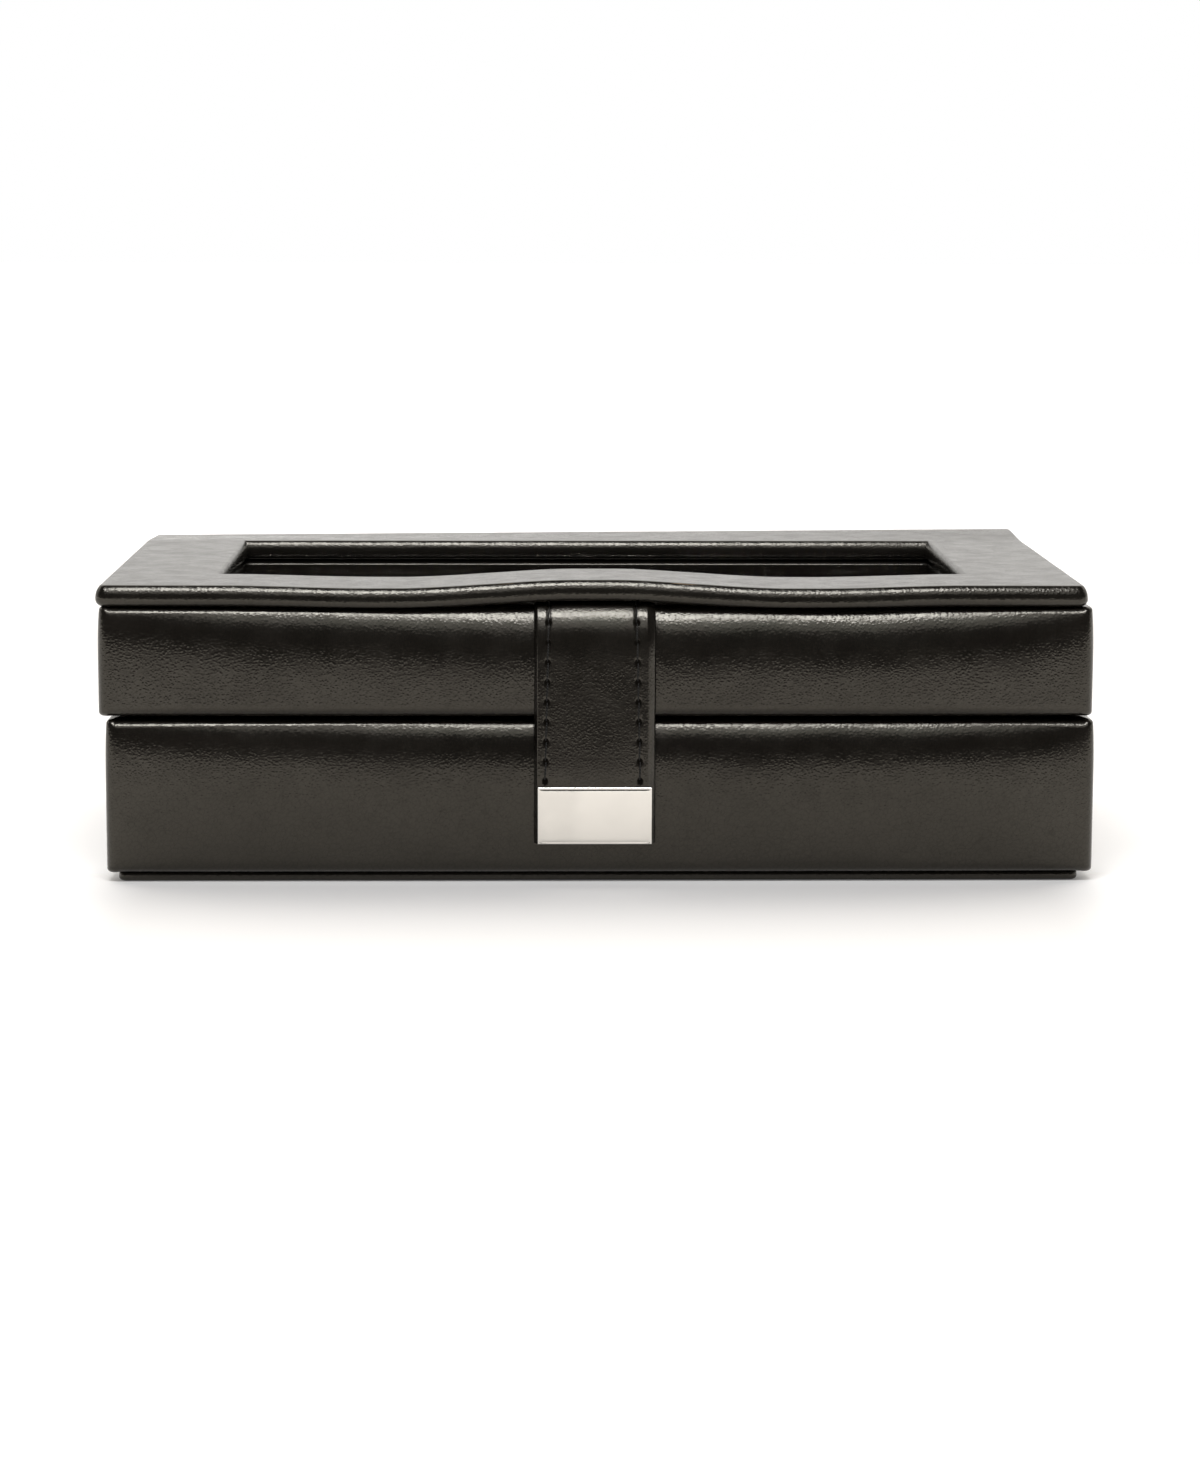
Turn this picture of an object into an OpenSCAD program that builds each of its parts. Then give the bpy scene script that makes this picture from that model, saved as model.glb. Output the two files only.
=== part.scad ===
// Cufflink box: a padded leatherette base with twelve compartments, and a deep window lid.
// The lid turns on two butt hinges at the back. A stitched strap, glued under the window frame,
// hangs over the front and ends in a folded metal tip with a magnet.
// Millimetres, +Z up, front towards -Y. The origin is the middle of the underside.

/* [Box] */
// Outer width over the side faces
box_w = 203; // [150:1:260]
// Outer depth over the front and back faces
box_d = 116; // [90:1:160]
// Height of the padded base tier
base_h = 32.4; // [26:0.1:60]
// Height of the padded lid tier
lid_h = 22.6; // [19:0.1:40]
// Gap at the parting line when the lid is shut
part_gap = 0.3; // [0.2:0.05:0.6]

/* [Bottom board] */
// Thickness of the covered board under the base
bottom_t = 2; // [1.5:0.1:4]
// How far the bottom board is set in from the side faces
bottom_inset = 1.8; // [1:0.1:4]
// Corner radius of the bottom board
bottom_corner_r = 2; // [1.2:0.1:4]

/* [Walls] */
// Thickness of the wall boards
board_t = 6; // [5:0.5:9]
// Thickness of the foam sheets
foam_t = 1.2; // [0.8:0.1:1.8]
// Thickness of the leatherette skin
skin_t = 0.9; // [0.7:0.05:1.2]
// Thickness of the suede lining
lining_t = 0.8; // [0.5:0.1:1.4]
// Width of skin that is turned over an edge
turn_in = 6; // [4:0.5:9]
// Thickness of the covered rim of the lid
rim_pad = 1.5; // [1.3:0.1:2.4]
// Radius of the upright corners
corner_r = 2.2; // [1.5:0.1:3]
// Edge radius where the skin is pulled tight, next to the corners
tight_r = 2; // [1.5:0.1:3]
// Edge radius in the middle of the padded front
soft_r = 5; // [3.5:0.1:5.5]
// Radius of the inner rim edges
rim_r = 1; // [0.6:0.1:1.4]
// Swell of the padded front between the strap and the corners
crown = 0.6; // [0:0.1:1.2]

/* [Lid window] */
// Width of the rails round the window
rail_w = 23.5; // [18:0.5:32]
// Thickness of the board with the window opening
top_board_t = 4; // [3:0.5:6]
// Radius of the padded edge round the window, under the frame
window_r = 3; // [1.5:0.1:3.5]
// Thickness of the covered window frame
cover_t = 4.4; // [3.6:0.1:6]
// Thickness of the clear pane
pane_t = 2; // [1.5:0.1:3]
// Thickness of the suede frame under the pane
pane_frame_t = 1.5; // [1:0.1:3]
// Half width of the level part of the lift over the strap
bow_flat = 14; // [13:0.5:18]
// Length of the slope on each side of the lift
bow_ramp = 20; // [12:1:30]

/* [Inside] */
// Thickness of the inner floor
floor_t = 3; // [2:0.5:5]
// Thickness of the floor pad
pad_t = 2; // [1:0.5:4]
// Thickness of the dividers
divider_t = 3; // [2:0.1:5]
// How far the dividers stay below the rim of the base
divider_drop = 3; // [2:0.5:10]

/* [Strap] */
// Width of the strap
strap_w = 25; // [18:0.5:26]
// Thickness of the outer leather
strap_outer_t = 1.2; // [1:0.1:2]
// Thickness of the inner leather
strap_lining_t = 1; // [0.8:0.1:1.6]
// Radius of the rolled strap edges
strap_edge_r = 0.9; // [0.4:0.1:1]
// Thickness of the skived end under the window frame
root_t = 1.2; // [0.8:0.1:2]
// Length of the skived end that is glued to the lid
root_len = 13; // [8:0.5:14]
// Length of a stitch from hole to hole
stitch_pitch = 4.07; // [3:0.01:6]
// Length of the thread that shows in each stitch
stitch_len = 3.2; // [2:0.1:3.6]
// Radius of the thread
thread_r = 0.3; // [0.2:0.05:0.4]
// Distance of the stitch rows from the strap edges
stitch_inset = 3; // [2:0.1:5]

/* [Strap tip] */
// Width of the metal tip
tip_w = 23.5; // [14:0.5:24]
// Height of the metal tip
tip_h = 12.1; // [10:0.1:16]
// Height of the tip's lower edge above the table
tip_rise = 7.8; // [6:0.1:12]
// Thickness of the tip's front plate and fold
tip_t = 0.7; // [0.5:0.05:1]
// Thickness of the tip's back plate
tip_back_t = 0.5; // [0.3:0.05:0.6]
// Height of the tip's back plate
tip_back_h = 8; // [5:0.5:10]
// Bevel round the tip's front plate
tip_bevel = 0.45; // [0.2:0.05:0.5]
// Radius of the magnets
magnet_r = 4; // [3:0.1:4.5]
// Thickness of the magnet in the strap
strap_magnet_t = 0.6; // [0.4:0.05:0.7]
// Thickness of the magnet in the front wall
base_magnet_t = 2.5; // [1.5:0.1:4]

/* [Hinges] */
// Distance between the middles of the two hinges
hinge_span = 124; // [80:1:130]
// Distance of the hinge axis behind the back face
hinge_out = 1.5; // [1.5:0.1:2.5]
// Length of a hinge along its axis
leaf_w = 20; // [14:0.5:30]
// Reach of a hinge leaf in from the back face
leaf_reach = 8; // [7.5:0.1:8.4]
// Thickness of a hinge leaf
leaf_t = 0.8; // [0.5:0.1:1]
// Radius of the hinge knuckles
knuckle_r = 1.75; // [1.4:0.05:1.8]
// Length of the middle knuckle
knuckle_mid = 7.4; // [5:0.1:9]
// Radius of the hinge pins
pin_r = 0.8; // [0.6:0.05:1]
// Radius of the pin heads
pin_head_r = 1.2; // [1.1:0.05:1.4]
// Shank radius of the hinge screws
screw_r = 0.7; // [0.5:0.05:0.9]
// Head radius of the hinge screws
screw_head_r = 1.4; // [1.2:0.05:1.8]
// Length of the hinge screws
screw_len = 8; // [5:0.5:12]
// Distance between the two screws of a leaf
screw_span = 12; // [8:0.5:14]

/* [Clearances] */
// Gap round boards, pads and panes that are set in
fit = 0.2; // [0.1:0.05:0.4]
// Gap between the window frame's board and its skin
core_seat = 0.05; // [0.03:0.01:0.1]
// Gap between the strap's root and the lid skin
strap_seat = 0.1; // [0.05:0.05:0.2]
// Gap between the hanging strap and the front faces
strap_gap = 0.3; // [0.2:0.05:0.6]
// Room above the skived strap end, under the window frame
bow_clear = 0.15; // [0.1:0.05:0.4]
// Gap where the strap bends, between its root and its flap
flex_gap = 0.7; // [0.7:0.05:0.9]
// Gap round pins and screws in their holes
hole_clear = 0.05; // [0.03:0.01:0.08]
// Gap between the knuckles of the two leaves
knuckle_gap = 0.3; // [0.2:0.05:0.5]

/* [Hidden] */
$fn = 48;
LONG_DIVIDERS = ["divider_long_front", "divider_long_rear"];
CROSS_DIVIDERS = ["divider_cross_left", "divider_cross_middle", "divider_cross_right"];

LEATHERETTE = "#2e2b28";
BOARD = "#b59b77";
FOAM = "#d9d4c6";
SUEDE = "#57524d";
METAL = "#d8d5cc";
STEEL = "#8d8d8b";
CLEAR = "#dfe9ec";
THREAD = "#1d1b1a";

// Steps round corners, edges and padded sides
corner_n = 3;
edge_n = 3;
soft_n = 5;
bull_n = 6;
front_n = 16;
side_n = 4;
back_n = 6;
face_n = 4;
rim_n = 2;
bow_n = 24;
// Inner corners of the swept skins are almost sharp
inner_r = 0.1;
// The sides and the back are less padded than the front
plain_share = 0.5;
// Edge radius of the bottom board, as a share of its thickness
bottom_round = 0.4;
// Room past a face for cuts that run out of it
cut = 4;

half_w = box_w / 2;
half_d = box_d / 2;

// Depths from the outer face: wall boards, their inner faces, and the whole wall
board_in = skin_t + foam_t;
board_out = board_in + board_t;
wall_t = board_out + lining_t;
// Skin over the upper board edges, thick enough for the soft edge
edge_reach = max(soft_r - board_in, 0);
cap_t = skin_t + soft_r - sqrt(soft_r * soft_r - edge_reach * edge_reach);
// The foam stops where the soft edge starts
foam_stop = soft_r;

// Levels, from the table up
base_z0 = bottom_t;
base_z1 = base_z0 + base_h;
floor_z1 = base_z0 + floor_t;
pad_z1 = floor_z1 + pad_t;
divider_z1 = base_z1 - divider_drop;
divider_mid_z = (pad_z1 + divider_z1) / 2;
lid_z0 = base_z1 + part_gap;
lid_z1 = lid_z0 + lid_h;
top_board_z1 = lid_z1 - cap_t;
top_board_z0 = top_board_z1 - top_board_t;
window_z0 = top_board_z0 - skin_t;
pane_z0 = window_z0 - pane_t;
pane_frame_z0 = pane_z0 - pane_frame_t;
cover_z1 = lid_z1 + cover_t;

// Compartments
inner_w = box_w - 2 * wall_t;
inner_d = box_d - 2 * wall_t;
columns = len(CROSS_DIVIDERS) + 1;
rows = len(LONG_DIVIDERS) + 1;

// Strap: thickness, bend over the lid edge, pivot of the flap and tip
strap_t = strap_outer_t + strap_lining_t;
bend_r = soft_r + strap_seat + root_t;
bend_in = bend_r - strap_seat - strap_t;
bend_z = lid_z1 - soft_r;
root_z0 = bend_z - strap_t / 2;
flap_r = strap_t / 2;
flap_out = strap_gap + strap_t;
layer_out = strap_gap + strap_lining_t;
pivot_z = root_z0 - flex_gap - flap_r;
tip_z1 = tip_rise + tip_h;
flap_z0 = tip_rise + tip_t + hole_clear;
magnet_z = tip_rise + tip_h / 2;
bow_h = strap_seat + root_t + bow_clear;
bow_half = bow_flat + bow_ramp;
strap_rest = strap_w / 2 + strap_gap;

// Hinge axis
hinge_y = half_d + hinge_out;
hinge_z = base_z1 + part_gap / 2;
screw_y = half_d - board_in - board_t / 2;
pin_len = leaf_w + 2 * hole_clear;

// Padding along a side: full in the middle, none at the corners
function softness(u) = 1 - u * u;

// Swell along the front: none under the strap and none at the corners
function front_swell(u) =
    let (w = (abs(u) * half_w - strap_rest) / (half_w - strap_rest))
    w <= 0 ? 0 : pow(sin(180 * w), 2);

// A station is a place round the box: unit x and y, normal x and y, softness, swell
function plain_station(x, y, nx, ny, u) =
    [x, y, nx, ny, plain_share * softness(u), plain_share * softness(u)];

function front_stations(n) =
    [for (i = [1:n - 1]) let (u = 2 * i / n - 1) [u, -1, 0, -1, softness(u), front_swell(u)]];

function right_stations(n) = [for (i = [1:n - 1]) let (u = 2 * i / n - 1) plain_station(1, u, 1, 0, u)];

function back_stations(n) = [for (i = [1:n - 1]) let (u = 1 - 2 * i / n) plain_station(u, 1, 0, 1, u)];

function left_stations(n) = [for (i = [1:n - 1]) let (u = 1 - 2 * i / n) plain_station(-1, u, -1, 0, u)];

function corner_stations(x, y, start) =
    [for (i = [0:corner_n]) let (t = start + 90 * i / corner_n) [x, y, cos(t), sin(t), 0, 0]];

function ring_stations() = concat(
    front_stations(front_n), corner_stations(1, -1, -90),
    right_stations(side_n), corner_stations(1, 1, 0),
    back_stations(back_n), corner_stations(-1, 1, 90),
    left_stations(side_n), corner_stations(-1, -1, 180));

function all_corners() = concat(
    corner_stations(1, -1, -90), corner_stations(1, 1, 0),
    corner_stations(-1, 1, 90), corner_stations(-1, -1, 180));

// The point at depth p[0] in from the outer face and height p[1], with rounded corners
function ring_point(st, p, corner) =
    let (r = max(corner - p[0], inner_r))
    [st[0] * (half_w - p[0] - r) + st[2] * r, st[1] * (half_d - p[0] - r) + st[3] * r, p[1]];

// Points on an arc in a section, with angle 180 towards the outer face and 90 upwards
function arc(x, z, r, from, to, n) =
    [for (i = [0:n]) let (t = from + (to - from) * i / n) [x + r * cos(t), z + r * sin(t)]];

// Points up a padded face between two heights
function face(z0, z1, swell) =
    [for (i = [1:face_n - 1]) let (t = i / face_n) [-crown * swell * sin(180 * t), z0 + (z1 - z0) * t]];

// Edge radius for a softness
function edge_r(s) = tight_r + (soft_r - tight_r) * s;

// Lift of the window frame's front rail over the strap
function bow(x) =
    let (w = (abs(x) - bow_flat) / bow_ramp)
    bow_h * (w <= 0 ? 1 : w >= 1 ? 0 : pow(cos(90 * w), 2));

// Outer side of the base skin in section, from under the wall to inside the rim
function base_skin(s, swell) =
    let (r = edge_r(s))
    concat(
        [[board_out, base_z0]],
        arc(tight_r, base_z0 + tight_r, tight_r, 270, 180, edge_n),
        face(base_z0 + tight_r, base_z1 - r, swell),
        arc(r, base_z1 - r, r, 180, 90, soft_n),
        arc(wall_t - rim_r, base_z1 - rim_r, rim_r, 90, 0, rim_n),
        [[wall_t, base_z1 - turn_in]]);

// Inner side of the base skin in section, against boards and foam
function base_skin_inner() = [
    [board_out, base_z1 - turn_in],
    [board_out, base_z1 - cap_t],
    [board_in, base_z1 - cap_t],
    [board_in, base_z1 - foam_stop],
    [skin_t, base_z1 - foam_stop],
    [skin_t, base_z0 + foam_stop],
    [board_in, base_z0 + foam_stop],
    [board_in, base_z0 + skin_t],
    [board_out, base_z0 + skin_t]
];

// Outer side of the lid skin in section, from inside the rim to the window
function lid_skin(s, swell) =
    let (r = edge_r(s))
    concat(
        [[wall_t, lid_z0 + turn_in]],
        arc(wall_t - rim_r, lid_z0 + rim_r, rim_r, 0, -90, rim_n),
        arc(tight_r, lid_z0 + tight_r, tight_r, 270, 180, edge_n),
        face(lid_z0 + tight_r, lid_z1 - r, swell),
        arc(r, lid_z1 - r, r, 180, 90, soft_n),
        arc(rail_w - window_r, lid_z1 - window_r, window_r, 90, 0, edge_n),
        arc(rail_w - rim_r, window_z0 + rim_r, rim_r, 0, -90, rim_n),
        [[rail_w - turn_in, window_z0]]);

// Inner side of the lid skin in section, against boards and foam
function lid_skin_inner() = [
    [rail_w - turn_in, window_z0 + skin_t],
    [rail_w - skin_t, window_z0 + skin_t],
    [rail_w - skin_t, top_board_z1],
    [board_in, top_board_z1],
    [board_in, lid_z1 - foam_stop],
    [skin_t, lid_z1 - foam_stop],
    [skin_t, lid_z0 + foam_stop],
    [board_in, lid_z0 + foam_stop],
    [board_in, lid_z0 + rim_pad],
    [board_out, lid_z0 + rim_pad],
    [board_out, lid_z0 + turn_in]
];

// Outer side of the window frame's skin in section, with half-round edges
function cover_skin() =
    let (r = cover_t / 2)
    concat(
        [[turn_in, lid_z1]],
        arc(r, lid_z1 + r, r, 270, 90, bull_n),
        arc(rail_w - r, lid_z1 + r, r, 90, -90, bull_n),
        [[rail_w - turn_in, lid_z1]]);

// Inner side of the window frame's skin in section, against its board
function cover_skin_inner() = [
    [rail_w - turn_in, lid_z1 + skin_t],
    [rail_w - skin_t, lid_z1 + skin_t],
    [rail_w - skin_t, cover_z1 - skin_t],
    [skin_t, cover_z1 - skin_t],
    [skin_t, lid_z1 + skin_t],
    [turn_in, lid_z1 + skin_t]
];

// The window frame's board in section
function cover_core() =
    let (in = skin_t + core_seat)
    [
        [in, lid_z1 + in],
        [in, cover_z1 - in],
        [rail_w - in, cover_z1 - in],
        [rail_w - in, lid_z1 + in]
    ];

// A section of the window frame carried round it, upright and close together where the rail is lifted
function cover_sections(section, corner) = concat(
    [
        for (i = [0:bow_n])
            let (x = bow_half * (2 * i / bow_n - 1))
            [for (p = section) [x, p[0] - half_d, p[1] + bow(x)]]
    ],
    [for (st = all_corners()) [for (p = section) ring_point(st, p, corner)]]);

// A closed ring through sections that have the same number of points
module ring_solid(sections) {
    n = len(sections);
    m = len(sections[0]);
    faces = [
        for (i = [0:n - 1], k = [0:m - 1])
            let (
                j = (i + 1) % n,
                l = (k + 1) % m,
                a = i * m + k,
                b = j * m + k,
                c = j * m + l,
                d = i * m + l
            )
            each [[a, d, c], [a, c, b]]
    ];
    polyhedron(points = [for (s = sections) each s], faces = faces, convexity = 8);
}

// A rounded rectangle, centred, with exact arcs
module rounded(w, h, r) {
    square([w - 2 * r, h], center = true);
    square([w, h - 2 * r], center = true);
    for (x = [-1, 1], y = [-1, 1])
        translate([x * (w / 2 - r), y * (h / 2 - r)])
            circle(r);
}

// Extrudes a side view along X: its x is the depth in from the front face, its y the height
module across(width) {
    translate([0, -half_d, 0])
        rotate([90, 0, 90])
            linear_extrude(width, center = true)
                children();
}

// A box between two corners
module between(low, high) {
    translate(low)
        cube(high - low);
}

// A plate round the middle, with half sizes x and y
module plate(x, y, z0, z1) {
    between([-x, -y, z0], [x, y, z1]);
}

// A sheet along the front (side -1) or back (side 1), between two depths from that face
module long_sheet(side, half_len, near, far, z0, z1) {
    mirror([0, side > 0 ? 1 : 0, 0])
        between([-half_len, -half_d + near, z0], [half_len, -half_d + far, z1]);
}

// A sheet along the left (side -1) or right (side 1), between two depths from that face
module short_sheet(side, half_len, near, far, z0, z1) {
    mirror([side > 0 ? 1 : 0, 0, 0])
        between([-half_w + near, -half_len, z0], [-half_w + far, half_len, z1]);
}

// Four sheets round the box, the short ones between the long ones
module sheets_round(near, far, end_gap, z0, z1) {
    for (side = [-1, 1]) {
        long_sheet(side, half_w - near - end_gap, near, far, z0, z1);
        short_sheet(side, half_d - far - end_gap, near, far, z0, z1);
    }
}

module base_bottom_board() {
    w = box_w - 2 * bottom_inset;
    d = box_d - 2 * bottom_inset;
    r = bottom_round * bottom_t;
    color(LEATHERETTE)
        intersection() {
            linear_extrude(bottom_t)
                rounded(w, d, bottom_corner_r);
            translate([0, 0, bottom_t / 2])
                rotate([90, 0, 90])
                    linear_extrude(w, center = true)
                        rounded(d, bottom_t, r);
            translate([0, 0, bottom_t / 2])
                rotate([90, 0, 0])
                    linear_extrude(d, center = true)
                        rounded(w, bottom_t, r);
        }
}

module base_floor_board() {
    color(BOARD)
        plate(half_w - board_out - fit, half_d - board_out - fit, base_z0, floor_z1);
}

module base_long_wall(side) {
    long_sheet(side, half_w - board_in, board_in, board_out, base_z0 + skin_t, base_z1 - cap_t);
}

module base_front_wall() {
    color(BOARD)
        difference() {
            base_long_wall(-1);
            translate([0, -half_d + board_in, magnet_z])
                rotate([-90, 0, 0])
                    cylinder(h = base_magnet_t + hole_clear, r = magnet_r + hole_clear);
        }
}

module base_back_wall() {
    color(BOARD)
        difference() {
            base_long_wall(1);
            base_screws(hole_clear);
        }
}

module base_short_wall(side) {
    color(BOARD)
        short_sheet(side, half_d - board_out, board_in, board_out, base_z0 + skin_t, base_z1 - cap_t);
}

module base_padding() {
    color(FOAM)
        sheets_round(skin_t, board_in, corner_r, base_z0 + foam_stop, base_z1 - foam_stop);
}

module base_wrap() {
    sections = [
        for (st = ring_stations())
            concat(
                [for (p = base_skin(st[4], st[5])) ring_point(st, p, corner_r)],
                [for (p = base_skin_inner()) ring_point(st, p, inner_r)])
    ];
    color(LEATHERETTE)
        difference() {
            ring_solid(sections);
            leaf_recess(base_z1 - leaf_t, base_z1 + cut);
            base_screws(hole_clear);
        }
}

module base_lining() {
    color(SUEDE)
        sheets_round(board_out, wall_t, 0, floor_z1, base_z1 - turn_in);
}

module base_floor_pad() {
    color(SUEDE)
        plate(half_w - wall_t - fit, half_d - wall_t - fit, floor_z1, pad_z1);
}

// A divider along X with a rounded top edge
module divider_blank(length) {
    r = divider_t / 2;
    rotate([90, 0, 90])
        linear_extrude(length - 2 * fit, center = true) {
            translate([-r, pad_z1])
                square([divider_t, divider_z1 - pad_z1 - r]);
            translate([0, divider_z1 - r])
                circle(r);
        }
}

// Places of the dividers, from the middle
function row_y(i) = inner_d * ((i + 1) / rows - 0.5);
function column_x(i) = inner_w * ((i + 1) / columns - 0.5);

module divider_long(i) {
    slot = divider_t / 2 + fit / 2;
    color(SUEDE)
        translate([0, row_y(i), 0])
            difference() {
                divider_blank(inner_w);
                for (k = [0:columns - 2])
                    between([column_x(k) - slot, -cut, divider_mid_z], [column_x(k) + slot, cut, base_z1]);
            }
}

module divider_cross(i) {
    slot = divider_t / 2 + fit / 2;
    color(SUEDE)
        translate([column_x(i), 0, 0])
            difference() {
                rotate([0, 0, 90])
                    divider_blank(inner_d);
                for (k = [0:rows - 2])
                    between([-cut, row_y(k) - slot, base_z0], [cut, row_y(k) + slot, divider_mid_z]);
            }
}

module base_magnet() {
    color(STEEL)
        translate([0, -half_d + board_in, magnet_z])
            rotate([-90, 0, 0])
                cylinder(h = base_magnet_t, r = magnet_r);
}

// The four screw places at the back
module at_screws() {
    for (x = [-1, 1], k = [-1, 1])
        translate([x * hinge_span / 2 + k * screw_span / 2, screw_y, 0])
            children();
}

// A countersunk screw that points down, its head level with z = 0, grown by a clearance
module screw(grow) {
    head_h = screw_head_r - screw_r;
    translate([0, 0, -head_h])
        cylinder(h = head_h, r1 = screw_r + grow, r2 = screw_head_r + grow);
    translate([0, 0, -screw_len - grow])
        cylinder(h = screw_len + grow - head_h, r = screw_r + grow);
}

module base_screws(grow) {
    at_screws()
        translate([0, 0, base_z1])
            screw(grow);
}

module lid_screws(grow) {
    at_screws()
        translate([0, 0, lid_z0])
            mirror([0, 0, 1])
                screw(grow);
}

// Recesses in a rim for the two leaves
module leaf_recess(z0, z1) {
    for (x = [-1, 1])
        translate([x * hinge_span / 2, 0, 0])
            between([-leaf_w / 2 - fit, half_d - leaf_reach - fit, z0], [leaf_w / 2 + fit, half_d + cut, z1]);
}

// A cylinder on the hinge axis between two places along it
module on_axis(from, to, r) {
    translate([from, hinge_y, hinge_z])
        rotate([0, 90, 0])
            cylinder(h = to - from, r = r);
}

// The outer knuckles belong to the base, the middle one to the lid
module outer_knuckles(r, gap) {
    on_axis(-leaf_w / 2 - gap, -knuckle_mid / 2 - knuckle_gap + gap, r);
    on_axis(knuckle_mid / 2 + knuckle_gap - gap, leaf_w / 2 + gap, r);
}

module middle_knuckle(r, gap) {
    on_axis(-knuckle_mid / 2 - gap, knuckle_mid / 2 + gap, r);
}

module leaf_plate(z0) {
    between([-leaf_w / 2, half_d - leaf_reach, z0], [leaf_w / 2, hinge_y, z0 + leaf_t]);
}

module pin_bore() {
    on_axis(-leaf_w / 2 - cut, leaf_w / 2 + cut, pin_r + hole_clear);
}

module hinge_base_leaf(side) {
    color(METAL)
        difference() {
            translate([side * hinge_span / 2, 0, 0])
                difference() {
                    union() {
                        difference() {
                            leaf_plate(base_z1 - leaf_t);
                            middle_knuckle(knuckle_r + knuckle_gap, knuckle_gap);
                        }
                        outer_knuckles(knuckle_r, 0);
                    }
                    pin_bore();
                }
            base_screws(hole_clear);
        }
}

module hinge_lid_leaf(side) {
    color(METAL)
        difference() {
            translate([side * hinge_span / 2, 0, 0])
                difference() {
                    union() {
                        difference() {
                            leaf_plate(lid_z0);
                            outer_knuckles(knuckle_r + knuckle_gap, knuckle_gap);
                        }
                        middle_knuckle(knuckle_r, 0);
                    }
                    pin_bore();
                }
            lid_screws(hole_clear);
        }
}

module hinge_pin(side) {
    head_h = pin_head_r / 2;
    color(METAL)
        translate([side * hinge_span / 2, 0, 0]) {
            on_axis(-pin_len / 2 - head_h, pin_len / 2 + head_h, pin_r);
            on_axis(-pin_len / 2 - head_h, -pin_len / 2, pin_head_r);
            on_axis(pin_len / 2, pin_len / 2 + head_h, pin_head_r);
        }
}

module hinge_base_screws() {
    color(METAL)
        base_screws(0);
}

module hinge_lid_screws() {
    color(METAL)
        lid_screws(0);
}

module lid_long_wall(side) {
    long_sheet(side, half_w - board_in, board_in, board_out, lid_z0 + rim_pad, top_board_z0);
}

module lid_front_wall() {
    color(BOARD)
        lid_long_wall(-1);
}

module lid_back_wall() {
    color(BOARD)
        difference() {
            lid_long_wall(1);
            lid_screws(hole_clear);
        }
}

module lid_short_wall(side) {
    color(BOARD)
        short_sheet(side, half_d - board_out, board_in, board_out, lid_z0 + rim_pad, top_board_z0);
}

module lid_top_board() {
    color(BOARD)
        difference() {
            plate(half_w - board_in, half_d - board_in, top_board_z0, top_board_z1);
            plate(half_w - rail_w + skin_t, half_d - rail_w + skin_t, top_board_z0 - cut, top_board_z1 + cut);
        }
}

module lid_padding() {
    color(FOAM)
        sheets_round(skin_t, board_in, corner_r, lid_z0 + foam_stop, lid_z1 - foam_stop);
}

module lid_wrap() {
    sections = [
        for (st = ring_stations())
            concat(
                [for (p = lid_skin(st[4], st[5])) ring_point(st, p, corner_r)],
                [for (p = lid_skin_inner()) ring_point(st, p, inner_r)])
    ];
    color(LEATHERETTE)
        difference() {
            ring_solid(sections);
            leaf_recess(lid_z0 - cut, lid_z0 + leaf_t);
            lid_screws(hole_clear);
        }
}

module cover_board() {
    color(BOARD)
        ring_solid(cover_sections(cover_core(), inner_r));
}

module cover_wrap() {
    outer = cover_sections(cover_skin(), corner_r);
    inner = cover_sections(cover_skin_inner(), inner_r);
    color(LEATHERETTE)
        ring_solid([for (i = [0:len(outer) - 1]) concat(outer[i], inner[i])]);
}

module window_pane() {
    color(CLEAR, 0.4)
        plate(half_w - board_out - fit, half_d - board_out - fit, pane_z0, window_z0);
}

module pane_frame() {
    color(SUEDE)
        difference() {
            plate(half_w - board_out - fit, half_d - board_out - fit, pane_frame_z0, pane_z0);
            plate(half_w - rail_w, half_d - rail_w, pane_frame_z0 - cut, pane_z0 + cut);
        }
}

module lid_lining() {
    color(SUEDE)
        sheets_round(board_out, wall_t, 0, lid_z0 + turn_in, pane_frame_z0);
}

// The skived end under the window frame, thickening as it bends down over the lid's edge
module strap_root() {
    color(LEATHERETTE)
        across(strap_w) {
            translate([bend_in, lid_z1 + strap_seat])
                square([soft_r + root_len - bend_in, root_t]);
            difference() {
                union() {
                    intersection() {
                        translate([bend_in, bend_z])
                            circle(bend_r);
                        translate([bend_in - bend_r, bend_z])
                            square(bend_r);
                    }
                    translate([bend_in, bend_z])
                        square([soft_r - bend_in, bend_r]);
                }
                translate([soft_r, bend_z])
                    circle(soft_r + strap_seat);
            }
            translate([-strap_seat - strap_t, root_z0])
                square([strap_t, bend_z - root_z0]);
        }
}

// Side view of the hanging flap, round at the top, between two depths in front of the face
module flap_layer(near, far) {
    intersection() {
        across(strap_w)
            intersection() {
                union() {
                    translate([-flap_out, flap_z0])
                        square([strap_t, pivot_z - flap_z0]);
                    translate([-strap_gap - flap_r, pivot_z])
                        circle(flap_r);
                }
                translate([-far, flap_z0 - cut])
                    square([far - near, lid_z1]);
            }
        translate([0, -half_d - strap_gap - flap_r, 0])
            linear_extrude(lid_z1)
                rounded(strap_w, strap_t, strap_edge_r);
    }
}

module strap_outer() {
    color(LEATHERETTE)
        difference() {
            flap_layer(layer_out, flap_out);
            translate([0, -half_d - layer_out, magnet_z])
                rotate([90, 0, 0])
                    cylinder(h = strap_magnet_t + hole_clear, r = magnet_r + hole_clear);
        }
}

module strap_lining() {
    x = tip_w / 2 + hole_clear;
    y = -half_d - strap_gap - tip_back_t - hole_clear;
    color(LEATHERETTE)
        difference() {
            flap_layer(strap_gap, layer_out);
            between([-x, y, 0], [x, -half_d + cut, tip_rise + tip_back_h + hole_clear]);
        }
}

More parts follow.
